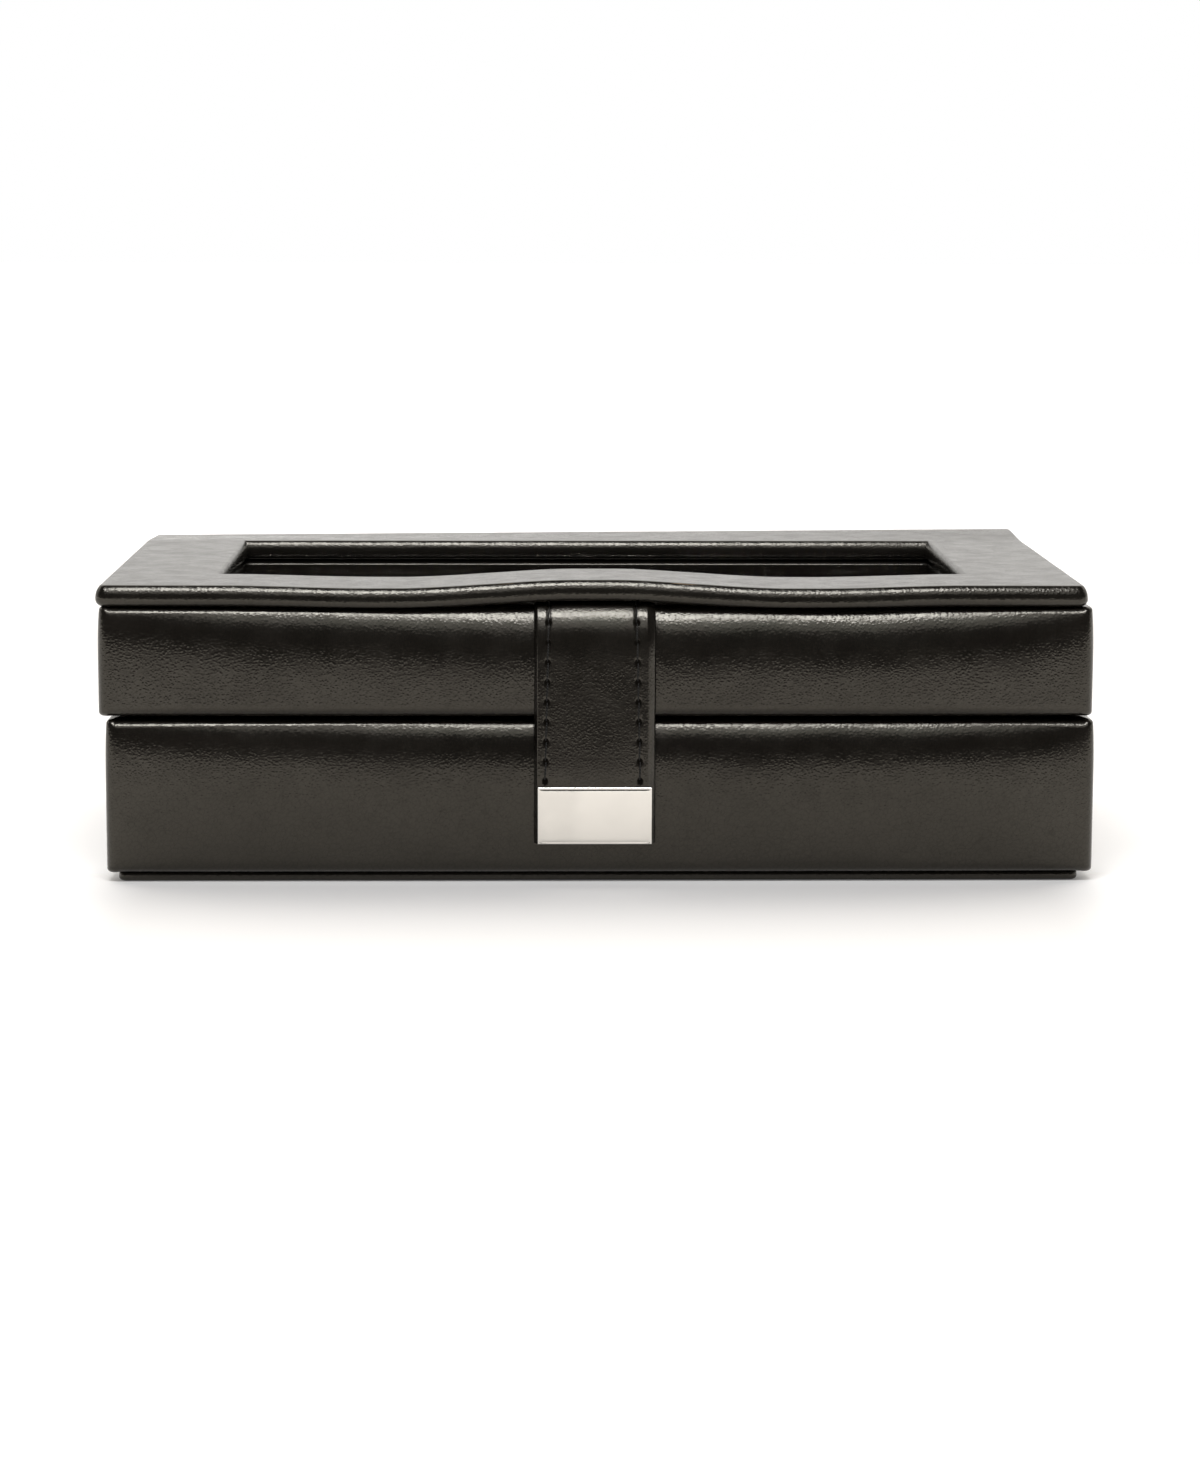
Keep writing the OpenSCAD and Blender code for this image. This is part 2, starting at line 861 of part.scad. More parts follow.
module strap_stitching() {
    x = strap_w / 2 - stitch_inset;
    count = floor((pivot_z - tip_z1) / stitch_pitch);
    color(THREAD)
        for (side = [-1, 1], i = [0:count - 1])
            translate([side * x, -half_d - flap_out, tip_z1 + (i + 0.5) * stitch_pitch - stitch_len / 2])
                linear_extrude(stitch_len)
                    intersection() {
                        circle(thread_r);
                        translate([-thread_r, -thread_r])
                            square([2 * thread_r, thread_r]);
                    }
}

module strap_tip() {
    x = tip_w / 2;
    front_y = -half_d - flap_out - tip_t;
    color(METAL) {
        hull() {
            between([-x, front_y + tip_t / 2, tip_rise], [x, front_y + tip_t, tip_z1]);
            between(
                [-x + tip_bevel, front_y, tip_rise + tip_bevel],
                [x - tip_bevel, front_y + tip_t, tip_z1 - tip_bevel]);
        }
        between([-x, front_y + tip_t, tip_rise], [x, -half_d - strap_gap, tip_rise + tip_t]);
        between(
            [-x, -half_d - strap_gap - tip_back_t, tip_rise],
            [x, -half_d - strap_gap, tip_rise + tip_back_h]);
    }
}

module strap_magnet() {
    color(STEEL)
        translate([0, -half_d - layer_out, magnet_z])
            rotate([90, 0, 0])
                cylinder(h = strap_magnet_t, r = magnet_r);
}

base_bottom_board();
base_floor_board();
base_front_wall();
base_back_wall();
base_short_wall(-1);  // base_left_wall
base_short_wall(1);  // base_right_wall
base_padding();
base_wrap();
base_lining();
base_floor_pad();
for (i = [0:rows - 2])
    divider_long(i);
for (i = [0:columns - 2])
    divider_cross(i);
base_magnet();
hinge_base_leaf(-1);  // hinge_left_base_leaf
hinge_base_leaf(1);  // hinge_right_base_leaf
hinge_pin(-1);  // hinge_left_pin
hinge_pin(1);  // hinge_right_pin
hinge_base_screws();
lid_front_wall();
lid_back_wall();
lid_short_wall(-1);  // lid_left_wall
lid_short_wall(1);  // lid_right_wall
lid_top_board();
lid_padding();
lid_wrap();
cover_board();
cover_wrap();
window_pane();
pane_frame();
lid_lining();
strap_root();
hinge_lid_leaf(-1);  // hinge_left_lid_leaf
hinge_lid_leaf(1);  // hinge_right_lid_leaf
hinge_lid_screws();
strap_outer();
strap_lining();
strap_stitching();
strap_tip();
strap_magnet();
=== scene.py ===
"""Looks of the cufflink box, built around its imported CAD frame.

The padded leather skins, the strap with its stitches and tip, the linings, pads and screws, and the studio
are made here. The boards, dividers, hinges, magnets and pane are CAD nodes that get better materials.
Shapes are worked out in millimetres and written to the meshes in metres.
"""

import math
from collections import namedtuple

import bmesh
import bpy
import numpy as np
from mathutils import Matrix, Vector, noise


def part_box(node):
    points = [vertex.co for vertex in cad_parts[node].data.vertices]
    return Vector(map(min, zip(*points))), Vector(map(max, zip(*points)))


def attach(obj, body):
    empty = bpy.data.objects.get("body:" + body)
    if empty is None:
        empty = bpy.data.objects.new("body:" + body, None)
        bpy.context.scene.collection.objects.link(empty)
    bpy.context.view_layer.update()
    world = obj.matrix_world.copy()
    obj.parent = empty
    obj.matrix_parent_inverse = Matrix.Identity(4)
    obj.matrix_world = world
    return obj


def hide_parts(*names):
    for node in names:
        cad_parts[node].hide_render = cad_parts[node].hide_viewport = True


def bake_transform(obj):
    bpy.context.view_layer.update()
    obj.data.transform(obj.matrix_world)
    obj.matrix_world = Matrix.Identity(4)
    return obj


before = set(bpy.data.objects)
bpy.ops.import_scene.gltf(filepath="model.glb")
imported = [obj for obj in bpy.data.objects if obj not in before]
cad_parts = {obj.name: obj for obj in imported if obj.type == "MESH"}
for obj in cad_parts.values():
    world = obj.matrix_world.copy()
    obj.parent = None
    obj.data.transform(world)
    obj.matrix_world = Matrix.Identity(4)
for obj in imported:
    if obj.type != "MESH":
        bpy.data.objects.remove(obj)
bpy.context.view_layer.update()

MM = 0.001


def span(node):
    """Lowest and highest corner of a CAD node, in millimetres."""
    low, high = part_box(node)
    return np.array(low) / MM, np.array(high) / MM


def heights(node):
    """Lowest and highest z of a CAD node."""
    return [corner[2] for corner in span(node)]


# Sizes that the CAD source has too and the frame's boxes don't show
SKIN_T, FOAM_T, BOARD_T, LINING_T, LEAF_T = 0.9, 1.2, 6.0, 0.8, 0.8
TURN_IN, RIM_PAD = 6.0, 1.5
RIM_R, WINDOW_R, CORNER_R, CREASE_R = 1.0, 3.0, 2.2, 0.1
RAIL_W, COVER_T = 23.5, 4.4
STITCH_PITCH = 4.07
STRAP_T, STRAP_SEAT, STRAP_GAP = 2.2, 0.1, 0.3
SCREW_R, SCREW_HEAD_R, SCREW_LEN, SCREW_SPAN = 0.7, 1.4, 8.0, 12

# Sizes that follow the photograph more closely than the source
WINDOW_EDGE_R, WINDOW_EDGE_IN = 0.7, 0.85
ROOT_T, ROOT_LEN = 0.8, 12
BOW_FLAT, BOW_END, BOW_H = 4.0, 30.0, 1.15

# Places from the frame
BOARD_IN = SKIN_T + FOAM_T
BOARD_OUT = BOARD_IN + BOARD_T
WALL_T = BOARD_OUT + LINING_T
HALF_W = span("base_front_wall")[1][0] + BOARD_IN
HALF_D = -span("base_front_wall")[0][1] + BOARD_IN
BASE_Z0, BASE_Z1 = heights("base_wrap")
BASE_CAP = BASE_Z1 - heights("base_front_wall")[1]
LID_Z0, LID_Z1 = heights("lid_wrap")
WINDOW_Z0 = heights("window_pane")[1]
TOP_BOARD_Z1 = heights("lid_top_board")[1]
STRAP_HALF = span("strap_outer")[1][0]
TIP_LOW, TIP_HIGH = span("strap_tip")

# How the padded walls stand, at the box's corners and in the middle of the front: radius of the top edge, lean of
# the face at its top in degrees, how late up the face the lean gathers, and how far the face stands out
BASE_DROP = 0.45
Padding = namedtuple("Padding", "height radius lean gather proud seed")
LID_PADDING = Padding(LID_Z1 - LID_Z0, (2.1, 2.8), (14.0, 35.0), (4.7, 2.9), (0.4, 0.9), 5)
BASE_PADDING = Padding(BASE_Z1 - BASE_Z0 - BASE_DROP, (2.4, 2.1), (12.0, 32.0), (7.0, 6.0), (0.25, 0.6), 3)
LOW_R = 2.0

# How the softness falls from the middle of the front to its left and right end, the other sides' share of it, and how
# much tighter the left and right walls are
FULL_LEFT, FULL_RIGHT, PLAIN_SHARE = 2.2, 6.0, 0.5
SIDE_CRISP = 0.57
SOFT_UNEVEN, SOFT_SIZE = 0.22, 24

# Ripples of the leather, large and small: height and size. They are calmer at the corners and fade at the edges
RIPPLE_H, RIPPLE_SIZE = (0.1, 0.025), (17, 6)
CALM_SHARE, EDGE_FADE = 0.35, 1.2

# The upholstery isn't quite centred: how far the left and right sides move along x, and the depths where that fades
LID_SIDES, BASE_SIDES, COVER_SIDES = (0.0, 0.95), (0.95, 1.75), (-0.7, 0.0)
BOTTOM_SHIFT = 1.1
SKIN_MOVED, COVER_MOVED = (3, 7), (2, 14)

# Steps along the front, a side and the back, round a corner, and along the window frame's rails
FRONT_N, SIDE_N, BACK_N, CORNER_N = 200, 80, 140, 9
RAIL_N, FAN_N = (160, 60), 15


# Meshes


def finished(name, mesh, material, body=None, sharp=50):
    """An object of a mesh in millimetres, smooth but for its sharp edges, riding on a CAD body."""
    mesh.transform(Matrix.Scale(MM, 4))
    mesh.shade_smooth()
    mesh.set_sharp_from_angle(angle=math.radians(sharp))
    mesh.materials.clear()
    mesh.materials.append(material)
    obj = bpy.data.objects.new(name, mesh)
    bpy.context.scene.collection.objects.link(obj)
    if body:
        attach(obj, body)
    return obj


def mesh_from(name, points, faces):
    """A mesh with its normals facing out."""
    mesh = bpy.data.meshes.new(name)
    mesh.from_pydata([tuple(p) for p in points], [], faces)
    work = bmesh.new()
    work.from_mesh(mesh)
    bmesh.ops.recalc_face_normals(work, faces=work.faces)
    work.to_mesh(mesh)
    work.free()
    return mesh


def ring_faces(n, m, closed=True):
    """Quads through n sections of m points each, the sections closed, and the last joined to the first if closed."""
    return [
        (i * m + k, i * m + (k + 1) % m, (i + 1) % n * m + (k + 1) % m, (i + 1) % n * m + k)
        for i in range(n if closed else n - 1)
        for k in range(m)
    ]


def ring_mesh(name, sections):
    """A closed ring through closed sections that have the same number of points."""
    return mesh_from(name, [p for s in sections for p in s], ring_faces(len(sections), len(sections[0])))


def tube_parts(sections, start=0):
    """Points and faces of a tube with closed ends, numbered from start."""
    n, m = len(sections), len(sections[0])
    faces = ring_faces(n, m, closed=False) + [tuple(range(m)), tuple(range((n - 1) * m, n * m))]
    return [p for s in sections for p in s], [tuple(start + i for i in f) for f in faces]


def grid_faces(n, m, start=0):
    """Quads of a grid of n rows of m points, numbered from start, and the loop of points round it."""
    grid = np.arange(start, start + n * m).reshape(n, m)
    quads = np.stack([grid[:-1, :-1], grid[1:, :-1], grid[1:, 1:], grid[:-1, 1:]], -1).reshape(-1, 4)
    rim = np.concatenate([grid[:-1, 0], grid[-1, :-1], grid[:0:-1, -1], grid[0, :0:-1]])
    return [tuple(q) for q in quads.tolist()], rim.tolist()


def band_faces(loop, start):
    """Quads from a loop of points to the next loop, whose points are numbered from start."""
    m = len(loop)
    return [(loop[k], loop[(k + 1) % m], start + (k + 1) % m, start + k) for k in range(m)]


def box_work(low, high):
    """A plain box to work on."""
    work = bmesh.new()
    bmesh.ops.create_cube(work, size=1)
    size, middle = np.array(high) - np.array(low), (np.array(high) + np.array(low)) / 2
    for v in work.verts:
        v.co = Vector(np.array(v.co) * size + middle)
    return work


def worked_mesh(name, work):
    """A mesh of what was worked on."""
    mesh = bpy.data.meshes.new(name)
    work.to_mesh(mesh)
    work.free()
    return mesh


def cutter(low, high):
    """A plain box, used to cut recesses."""
    return worked_mesh("cutter", box_work(low, high))


def soft_box(low, high, r, start):
    """Points and faces of a box with rounded edges and flat faces, numbered from start."""
    work = box_work(low, high)
    bmesh.ops.bevel(work, geom=work.edges[:], offset=r, segments=3, profile=0.5, affect="EDGES")
    flats = sorted(work.faces, key=lambda f: (-round(f.calc_area(), 3), *f.calc_center_median()))[:2]
    bmesh.ops.inset_individual(work, faces=flats, thickness=0.05)
    work.verts.index_update()
    parts = [tuple(v.co) for v in work.verts], [tuple(start + v.index for v in f.verts) for f in work.faces]
    work.free()
    return parts


def cut(mesh, cutters):
    """The mesh less some cutters, all in millimetres."""
    body = bpy.data.objects.new("cut_body", mesh)
    tools = [bpy.data.objects.new("cut_tool", tool) for tool in cutters]
    for obj in [body, *tools]:
        bpy.context.scene.collection.objects.link(obj)
    for tool in tools:
        step = body.modifiers.new("cut", "BOOLEAN")
        step.operation, step.solver, step.object = "DIFFERENCE", "EXACT", tool
    bpy.context.view_layer.update()
    done = bpy.data.meshes.new_from_object(body.evaluated_get(bpy.context.evaluated_depsgraph_get()))
    for obj in [body, *tools]:
        bpy.data.objects.remove(obj)
    return done


def smoothstep(low, high, x):
    t = np.clip((x - low) / (high - low), 0, 1)
    return t * t * (3 - 2 * t)


def ripple(point, size, seed):
    """Smooth noise from -1 to 1, with bumps of about that size in millimetres."""
    return noise.noise(Vector(point) / size + Vector((seed, 0, 0)))


# Materials


class Nodes:
    """A node tree, with short ways to add nodes to it."""

    def __init__(self, tree):
        self.tree = tree

    def add(self, kind, inputs=(), **settings):
        """A node; an input takes a value, or an output socket to link."""
        made = self.tree.nodes.new(kind)
        for key, value in settings.items():
            setattr(made, key, value)
        for socket, value in dict(inputs).items():
            if isinstance(value, bpy.types.NodeSocket):
                self.tree.links.new(value, made.inputs[socket])
            else:
                made.inputs[socket].default_value = value
        return made

    def surface(self, node, output="Material Output"):
        """Makes a shader node the one that shows."""
        self.tree.links.new(node.outputs[0], self.tree.nodes[output].inputs["Surface"])

    def math(self, operation, *values):
        return self.add("ShaderNodeMath", dict(enumerate(values)), operation=operation).outputs[0]

    def remap(self, value, low, high, to_low, to_high):
        made = self.add("ShaderNodeMapRange", {"Value": value, "From Min": low, "From Max": high,
                                               "To Min": to_low, "To Max": to_high},
                        interpolation_type="SMOOTHSTEP")
        return made.outputs["Result"]


class Look(Nodes):
    """A Principled material."""

    def __init__(self, name, sockets):
        self.material = bpy.data.materials.new(name)
        self.material.use_nodes = True
        super().__init__(self.material.node_tree)
        self.shader = self.tree.nodes["Principled BSDF"]
        for socket, value in sockets.items():
            self.shader.inputs[socket].default_value = value

    def drive(self, socket, output):
        self.tree.links.new(output, self.shader.inputs[socket])

    def place(self, attribute=None):
        """Where on the piece a point is: object coordinates, or a stored attribute of the mesh at rest."""
        if attribute:
            return self.add("ShaderNodeAttribute", attribute_name=attribute).outputs["Vector"]
        return self.add("ShaderNodeTexCoord").outputs["Object"]

    def stretched(self, vector, scale, slant=0.0):
        """Coordinates stretched along their axes, after a turn about the depth axis."""
        if slant:
            vector = self.add("ShaderNodeMapping", {"Vector": vector, "Rotation": (0.0, slant, 0.0)}).outputs["Vector"]
        return self.add("ShaderNodeMapping", {"Vector": vector, "Scale": scale}).outputs["Vector"]

    def noise(self, vector, scale, detail=2.0, roughness=0.5):
        made = self.add("ShaderNodeTexNoise", {"Vector": vector, "Scale": scale, "Detail": detail,
                                               "Roughness": roughness})
        return made.outputs["Fac"]

    def blend(self, factor, a, b):
        """A colour between two, by a factor."""
        made = self.add("ShaderNodeMix", data_type="RGBA")
        self.tree.links.new(factor, made.inputs["Factor"])
        colours = [s for s in made.inputs if s.type == "RGBA"]
        for socket, colour in zip(colours, (a, b)):
            socket.default_value = (*colour, 1)
        return next(s for s in made.outputs if s.type == "RGBA")

    def bump(self, height, strength, distance):
        made = self.add("ShaderNodeBump", {"Height": height, "Strength": strength, "Distance": distance})
        self.drive("Normal", made.outputs["Normal"])


def leather_look(name, attribute=None, holes=None, grain=1.0):
    """Black grained leatherette: small pebbles and pores, short creases and an uneven gloss.
    An attribute may tell where needle holes are; there the colour gets painted shade and the gloss drops."""
    look = Look(name, {"IOR": 1.51, "Specular Tint": (1.0, 0.93, 0.8, 1.0)})
    place = look.place(attribute)
    drift = look.add("ShaderNodeTexNoise", {"Vector": place, "Scale": 700.0, "Detail": 2.0})
    shift = look.add("ShaderNodeVectorMath", {0: drift.outputs["Color"], 1: (0.0007,) * 3}, operation="MULTIPLY")
    warped = look.add("ShaderNodeVectorMath", {0: place, 1: shift.outputs[0]}, operation="ADD").outputs[0]
    cells = look.add("ShaderNodeTexVoronoi", {"Vector": warped, "Scale": 1700.0}, feature="F1")
    pebble = look.remap(cells.outputs["Distance"], 0.05, 0.65, 1.0, 0.0)
    lines = look.add("ShaderNodeTexVoronoi", {"Vector": look.stretched(warped, (0.8, 0.8, 1.15), slant=0.5),
                                              "Scale": 980.0}, feature="DISTANCE_TO_EDGE")
    crease = look.remap(lines.outputs["Distance"], 0.0, 0.14, 0.0, 1.0)
    tone_and_hole_shade = look.remap(look.noise(place, 55.0, 4.0, 0.6), 0.35, 0.7, 0.0, 1.0)
    creased = look.math("MULTIPLY", crease, look.remap(tone_and_hole_shade, 0.0, 1.0, 0.02, 0.1))
    pores = look.noise(place, 4200.0)
    height = look.math("ADD", look.math("MULTIPLY", pebble, 0.5), creased)
    height = look.math("ADD", height, look.math("MULTIPLY", pores, 0.08))
    look.bump(height, 0.38 * grain, 0.00009)
    gloss = look.noise(place, 190.0, 4.0, 0.6)
    shine = look.remap(crease, 0.0, 0.8, 0.43, 0.51)
    # At needle holes the colour is painted darker, as painted shade in the holes, and their gloss is taken out.
    if holes:
        sunk = look.add("ShaderNodeAttribute", attribute_name=holes).outputs["Fac"]
        shine = look.math("MULTIPLY", shine, look.remap(sunk, 0.03, 0.35, 1.0, 0.0))
        tone_and_hole_shade = look.math("SUBTRACT", tone_and_hole_shade, look.math("MULTIPLY", sunk, 2.0))
    look.drive("Specular IOR Level", shine)
    look.drive("Base Color", look.blend(tone_and_hole_shade, (0.0052, 0.0044, 0.0035), (0.0078, 0.0067, 0.0054)))
    look.drive("Roughness", look.remap(gloss, 0.3, 0.75, 0.15, 0.24))
    return look.material


def suede_look():
    """Dark grey suede: short nap with brushed patches and a soft sheen."""
    look = Look("suede", {"Sheen Weight": 0.35, "Sheen Roughness": 0.45, "Sheen Tint": (0.9, 0.87, 0.82, 1.0),
                          "Specular IOR Level": 0.15, "Roughness": 0.92})
    place = look.place()
    nap = look.noise(place, 4200.0, 3.0, 0.65)
    brushed = look.noise(look.stretched(place, (1.0, 2.6, 1.6)), 70.0, 5.0, 0.6)
    look.drive("Base Color", look.blend(look.remap(brushed, 0.35, 0.68, 0.0, 1.0),
                                        (0.034, 0.031, 0.028), (0.062, 0.057, 0.052)))
    look.bump(look.math("ADD", nap, look.math("MULTIPLY", brushed, 0.6)), 0.7, 0.00014)
    return look.material


def metal_look(name, colour, rough_low, rough_high, streaks):
    """Nickel: fine rubbed streaks, uneven polish and a breath of tarnish."""
    look = Look(name, {"Metallic": 1.0})
    place = look.place()
    rubbed = look.noise(look.stretched(place, streaks), 900.0, 4.0, 0.6)
    cloud = look.noise(place, 140.0, 3.0)
    look.drive("Roughness", look.remap(look.math("ADD", rubbed, look.math("MULTIPLY", cloud, 0.5)),
                                       0.45, 1.1, rough_low, rough_high))
    dull = tuple(c * 0.93 for c in colour)
    look.drive("Base Color", look.blend(look.remap(cloud, 0.35, 0.7, 0.0, 1.0), colour, dull))
    look.bump(rubbed, 0.04, 0.00003)
    return look.material


def glass_look():
    """Clear sheet with faint wiping marks."""
    look = Look("clear_pane", {"Transmission Weight": 1.0, "IOR": 1.49, "Base Color": (0.97, 0.985, 0.985, 1.0)})
    wiped = look.noise(look.stretched(look.place(), (1.0, 0.35, 1.0)), 90.0, 5.0, 0.6)
    look.drive("Roughness", look.remap(wiped, 0.45, 0.8, 0.02, 0.08))
    through = look.add("ShaderNodeBsdfTransparent")
    sheet = look.add("ShaderNodeMixShader", {"Fac": 0.8, 1: look.shader.outputs[0], 2: through.outputs[0]})
    look.surface(sheet)
    return look.material


def thread_look():
    """Black twisted thread."""
    look = Look("thread", {"Roughness": 0.6, "Specular IOR Level": 0.25})
    place = look.place("rest_place")
    twist = look.add("ShaderNodeTexWave", {"Vector": place, "Scale": 900.0, "Distortion": 1.0},
                     bands_direction="DIAGONAL")
    fuzz = look.noise(place, 6000.0)
    look.bump(look.math("ADD", twist.outputs["Fac"], fuzz), 0.6, 0.00008)
    look.drive("Base Color", look.blend(fuzz, (0.006, 0.0055, 0.005), (0.014, 0.013, 0.012)))
    return look.material


def board_look():
    """Brown fibreboard with pressed flecks."""
    look = Look("fibreboard", {"Roughness": 0.85})
    place = look.place()
    fleck = look.noise(place, 1400.0, 5.0, 0.7)
    look.drive("Base Color", look.blend(look.remap(fleck, 0.3, 0.7, 0.0, 1.0), (0.19, 0.115, 0.06),
                                        (0.34, 0.23, 0.13)))
    look.bump(fleck, 0.4, 0.0002)
    return look.material


LEATHER = leather_look("leatherette")
# Strap leather, with painted shade in its needle holes.
STRAP_LEATHER = leather_look("strap_leatherette", "rest_place", "needle_hole", grain=0.65)
SUEDE = suede_look()
NICKEL = metal_look("polished_nickel", (0.69, 0.665, 0.622), 0.08, 0.16, (1.0, 14.0, 14.0))
HINGE_METAL = metal_look("plated_steel", (0.7, 0.68, 0.63), 0.24, 0.4, (1.0, 9.0, 9.0))
MAGNET = metal_look("magnet", (0.4, 0.4, 0.4), 0.4, 0.55, (1.0, 1.0, 1.0))
PANE = glass_look()
THREAD = thread_look()
BOARD = board_look()


# Side view of the strap, which leans back along the lid and over the lid's shoulder

BEND_Z = LID_Z1 - 0.5
STRAP_END = TIP_LOW[2] + 0.9
STRAP_TOP = LID_Z1 + STRAP_SEAT + ROOT_T
LEAN_Z0, LEAN_Z1, STRAP_LEAN = 19.0, 27.0, math.radians(3.7)
SHOULDER_Z, SHOULDER_LEAN, SHOULDER_GATHER = 44.0, math.radians(31.0), 2.5
SQUEEZED_T, STRAP_OUT = 1.6, 0.8


def strap_path():
    """The strap from its root to its end: depth of the outer side behind the front face, its height, the tilt of its
    normal and the thickness there. It lies on the lid's shoulder, leans back along the lid's padding and hangs straight
    at the tip."""
    z = np.linspace(BEND_Z, STRAP_END, 150)
    shoulder = np.clip((z - SHOULDER_Z) / (BEND_Z - SHOULDER_Z), 0, 1) ** SHOULDER_GATHER
    lean = STRAP_LEAN * smoothstep(LEAN_Z0, LEAN_Z1, z) + SHOULDER_LEAN * shoulder
    back = np.cumsum(np.tan(lean)[::-1])[::-1] * (z[0] - z[1])
    thick = STRAP_T + (SQUEEZED_T - STRAP_T) * smoothstep(LEAN_Z0, BEND_Z, z)
    flap = np.stack([back - STRAP_OUT - STRAP_GAP - STRAP_T, z, lean, thick], 1)
    a = np.linspace(math.pi / 2, lean[0], 20)
    r = (STRAP_TOP - BEND_Z) / (1 - math.sin(lean[0]))
    middle = flap[0, 0] + r * math.cos(lean[0]), BEND_Z - r * math.sin(lean[0])
    thin = ROOT_T + (SQUEEZED_T - ROOT_T) * smoothstep(math.pi / 2, lean[0], a)
    turn = np.stack([middle[0] - r * np.cos(a), middle[1] + r * np.sin(a), a, thin], 1)
    root = np.array([(middle[0] + d, STRAP_TOP, math.pi / 2, ROOT_T) for d in np.linspace(ROOT_LEN, 0, 12)])
    return np.concatenate([root[:-1], turn[:-1], flap])


STRAP_PATH = strap_path()
STRAP_NORMAL = np.stack([-np.cos(STRAP_PATH[:, 2]), np.sin(STRAP_PATH[:, 2])], 1)
STRAP_INNER = STRAP_PATH[:, :2] - STRAP_NORMAL * STRAP_PATH[:, 3:]


def strap_back(z):
    """Depth of the strap's inner side at a height."""
    return np.interp(z, STRAP_INNER[::-1, 1], STRAP_INNER[::-1, 0])


# Padded walls


def wall_curve(height, r_low, r_top, lean, gather, proud):
    """Outer side of a padded wall, from its lower edge to its top edge.
    Each point has its depth in from the nominal face, its height and the tilt of its normal."""
    low = np.linspace(-math.pi / 2, 0, 8)
    t = (np.arange(28) + 0.5) / 28
    face = lean * t**gather
    top = np.linspace(lean, math.pi / 2, 13)
    low_points = np.stack([-r_low * np.cos(low), r_low * (1 + np.sin(low)), low], 1)
    step = (height - r_low - r_top * (1 - math.sin(lean))) / np.cos(face).sum()
    face_points = np.stack([np.cumsum(np.sin(face)) * step, np.cumsum(np.cos(face)) * step, face], 1)
    face_points[:, :2] += low_points[-1, :2]
    top_points = np.stack([r_top * (math.cos(lean) - np.cos(top)), r_top * (np.sin(top) - math.sin(lean)), top], 1)
    top_points[:, :2] += face_points[-1, :2]
    curve = np.concatenate([low_points, face_points, top_points[1:]])
    curve[:, 0] -= curve[:, 0].min() + proud
    return curve


def bend(x, z, r, start, end, n):
    """Points of an arc in a section with the tilt of their normals: 0 is outward, 90 up, 180 inward, 270 down."""
    a = np.radians(np.linspace(start, end, n + 1))
    return np.stack([x - r * np.cos(a), z + r * np.sin(a), a], 1)


def spots(*points):
    """Plain points of a section, whose tilt doesn't matter."""
    return np.array([(x, z, 0.0) for x, z in points])


def freed(curve, free=0.0):
    """Adds to each point of a section how much it may ripple."""
    return np.concatenate([curve, np.broadcast_to(np.asarray(free, float), len(curve))[:, None]], 1)


def side_run(count):
    """Shares along a side from -1 to 1, ends left out."""
    return np.linspace(-1, 1, count + 1)[1:-1]


CORNERS = [(1, -1, -90), (1, 1, 0), (-1, 1, 90), (-1, -1, 180)]


def corner_stations(corner):
    x, y, start = corner
    return [(x, y, math.cos(a), math.sin(a), 0.0) for a in np.radians(start + np.linspace(0, 90, CORNER_N))]


def stations():
    """Places round the box: unit x and y, normal x and y, and softness of the padding."""
    runs = [
        [(u, -1, 0, -1, 1 - abs(u) ** (FULL_RIGHT if u > 0 else FULL_LEFT)) for u in side_run(FRONT_N)],
        [(1, u, 1, 0, PLAIN_SHARE * (1 - u * u)) for u in side_run(SIDE_N)],
        [(-u, 1, 0, 1, PLAIN_SHARE * (1 - u * u)) for u in side_run(BACK_N)],
        [(-1, -u, -1, 0, PLAIN_SHARE * (1 - u * u)) for u in side_run(SIDE_N)],
    ]
    return [s for run, corner in zip(runs, CORNERS) for s in run + corner_stations(corner)]


def placed(station, depth, corner):
    """Plan place of a point at a depth in from the outer face, with rounded corners."""
    x, y, nx, ny = station[:4]
    r = max(corner - depth, CREASE_R)
    return x * (HALF_W - depth - r) + nx * r, y * (HALF_D - depth - r) + ny * r


def rippled(p, nx, ny, tilt, amount, seed):
    """A point pushed along its normal, as leather over foam is uneven."""
    large, small = (h * ripple(p, size, seed + more) for h, size, more in zip(RIPPLE_H, RIPPLE_SIZE, (0, 7)))
    return p + np.array((nx * math.cos(tilt), ny * math.cos(tilt), math.sin(tilt))) * (large + small) * amount


def pressed(station, depth, z):
    """Depth of the lid's face where the strap presses on it."""
    x = station[0] * HALF_W
    if station[3] > -1 or z > LID_Z1 - 0.05:
        return depth
    fade_in, fade_out, clear = 1.2, 0.6, 0.06
    hold = 1 - smoothstep(STRAP_HALF - fade_in, STRAP_HALF + fade_out, abs(x))
    return depth + hold * max(strap_back(z) + clear - depth, 0)


def moved(x, sides):
    """How far a place along x is moved, between the two sides' moves."""
    left, right = sides
    return left + (right - left) * (x + HALF_W) / (2 * HALF_W)


def skin_section(station, outer, inner, z0, seed, sides):
    """One closed section of a padded skin in space. Only its outer side is moved with the box's sides."""
    points = []
    for depth, z, tilt, free in outer:
        if free:
            depth = pressed(station, depth, z0 + z)
        p = np.array((*placed(station, depth, CORNER_R), z0 + z))
        p[0] += moved(p[0], sides) * (1 - smoothstep(*SKIN_MOVED, depth))
        amount = free * (CALM_SHARE + (1 - CALM_SHARE) * station[4])
        points.append(rippled(p, *station[2:4], tilt, amount, seed) if free else p)
    points += [(*placed(station, depth, CREASE_R), z0 + z) for depth, z, _tilt in inner]
    return points


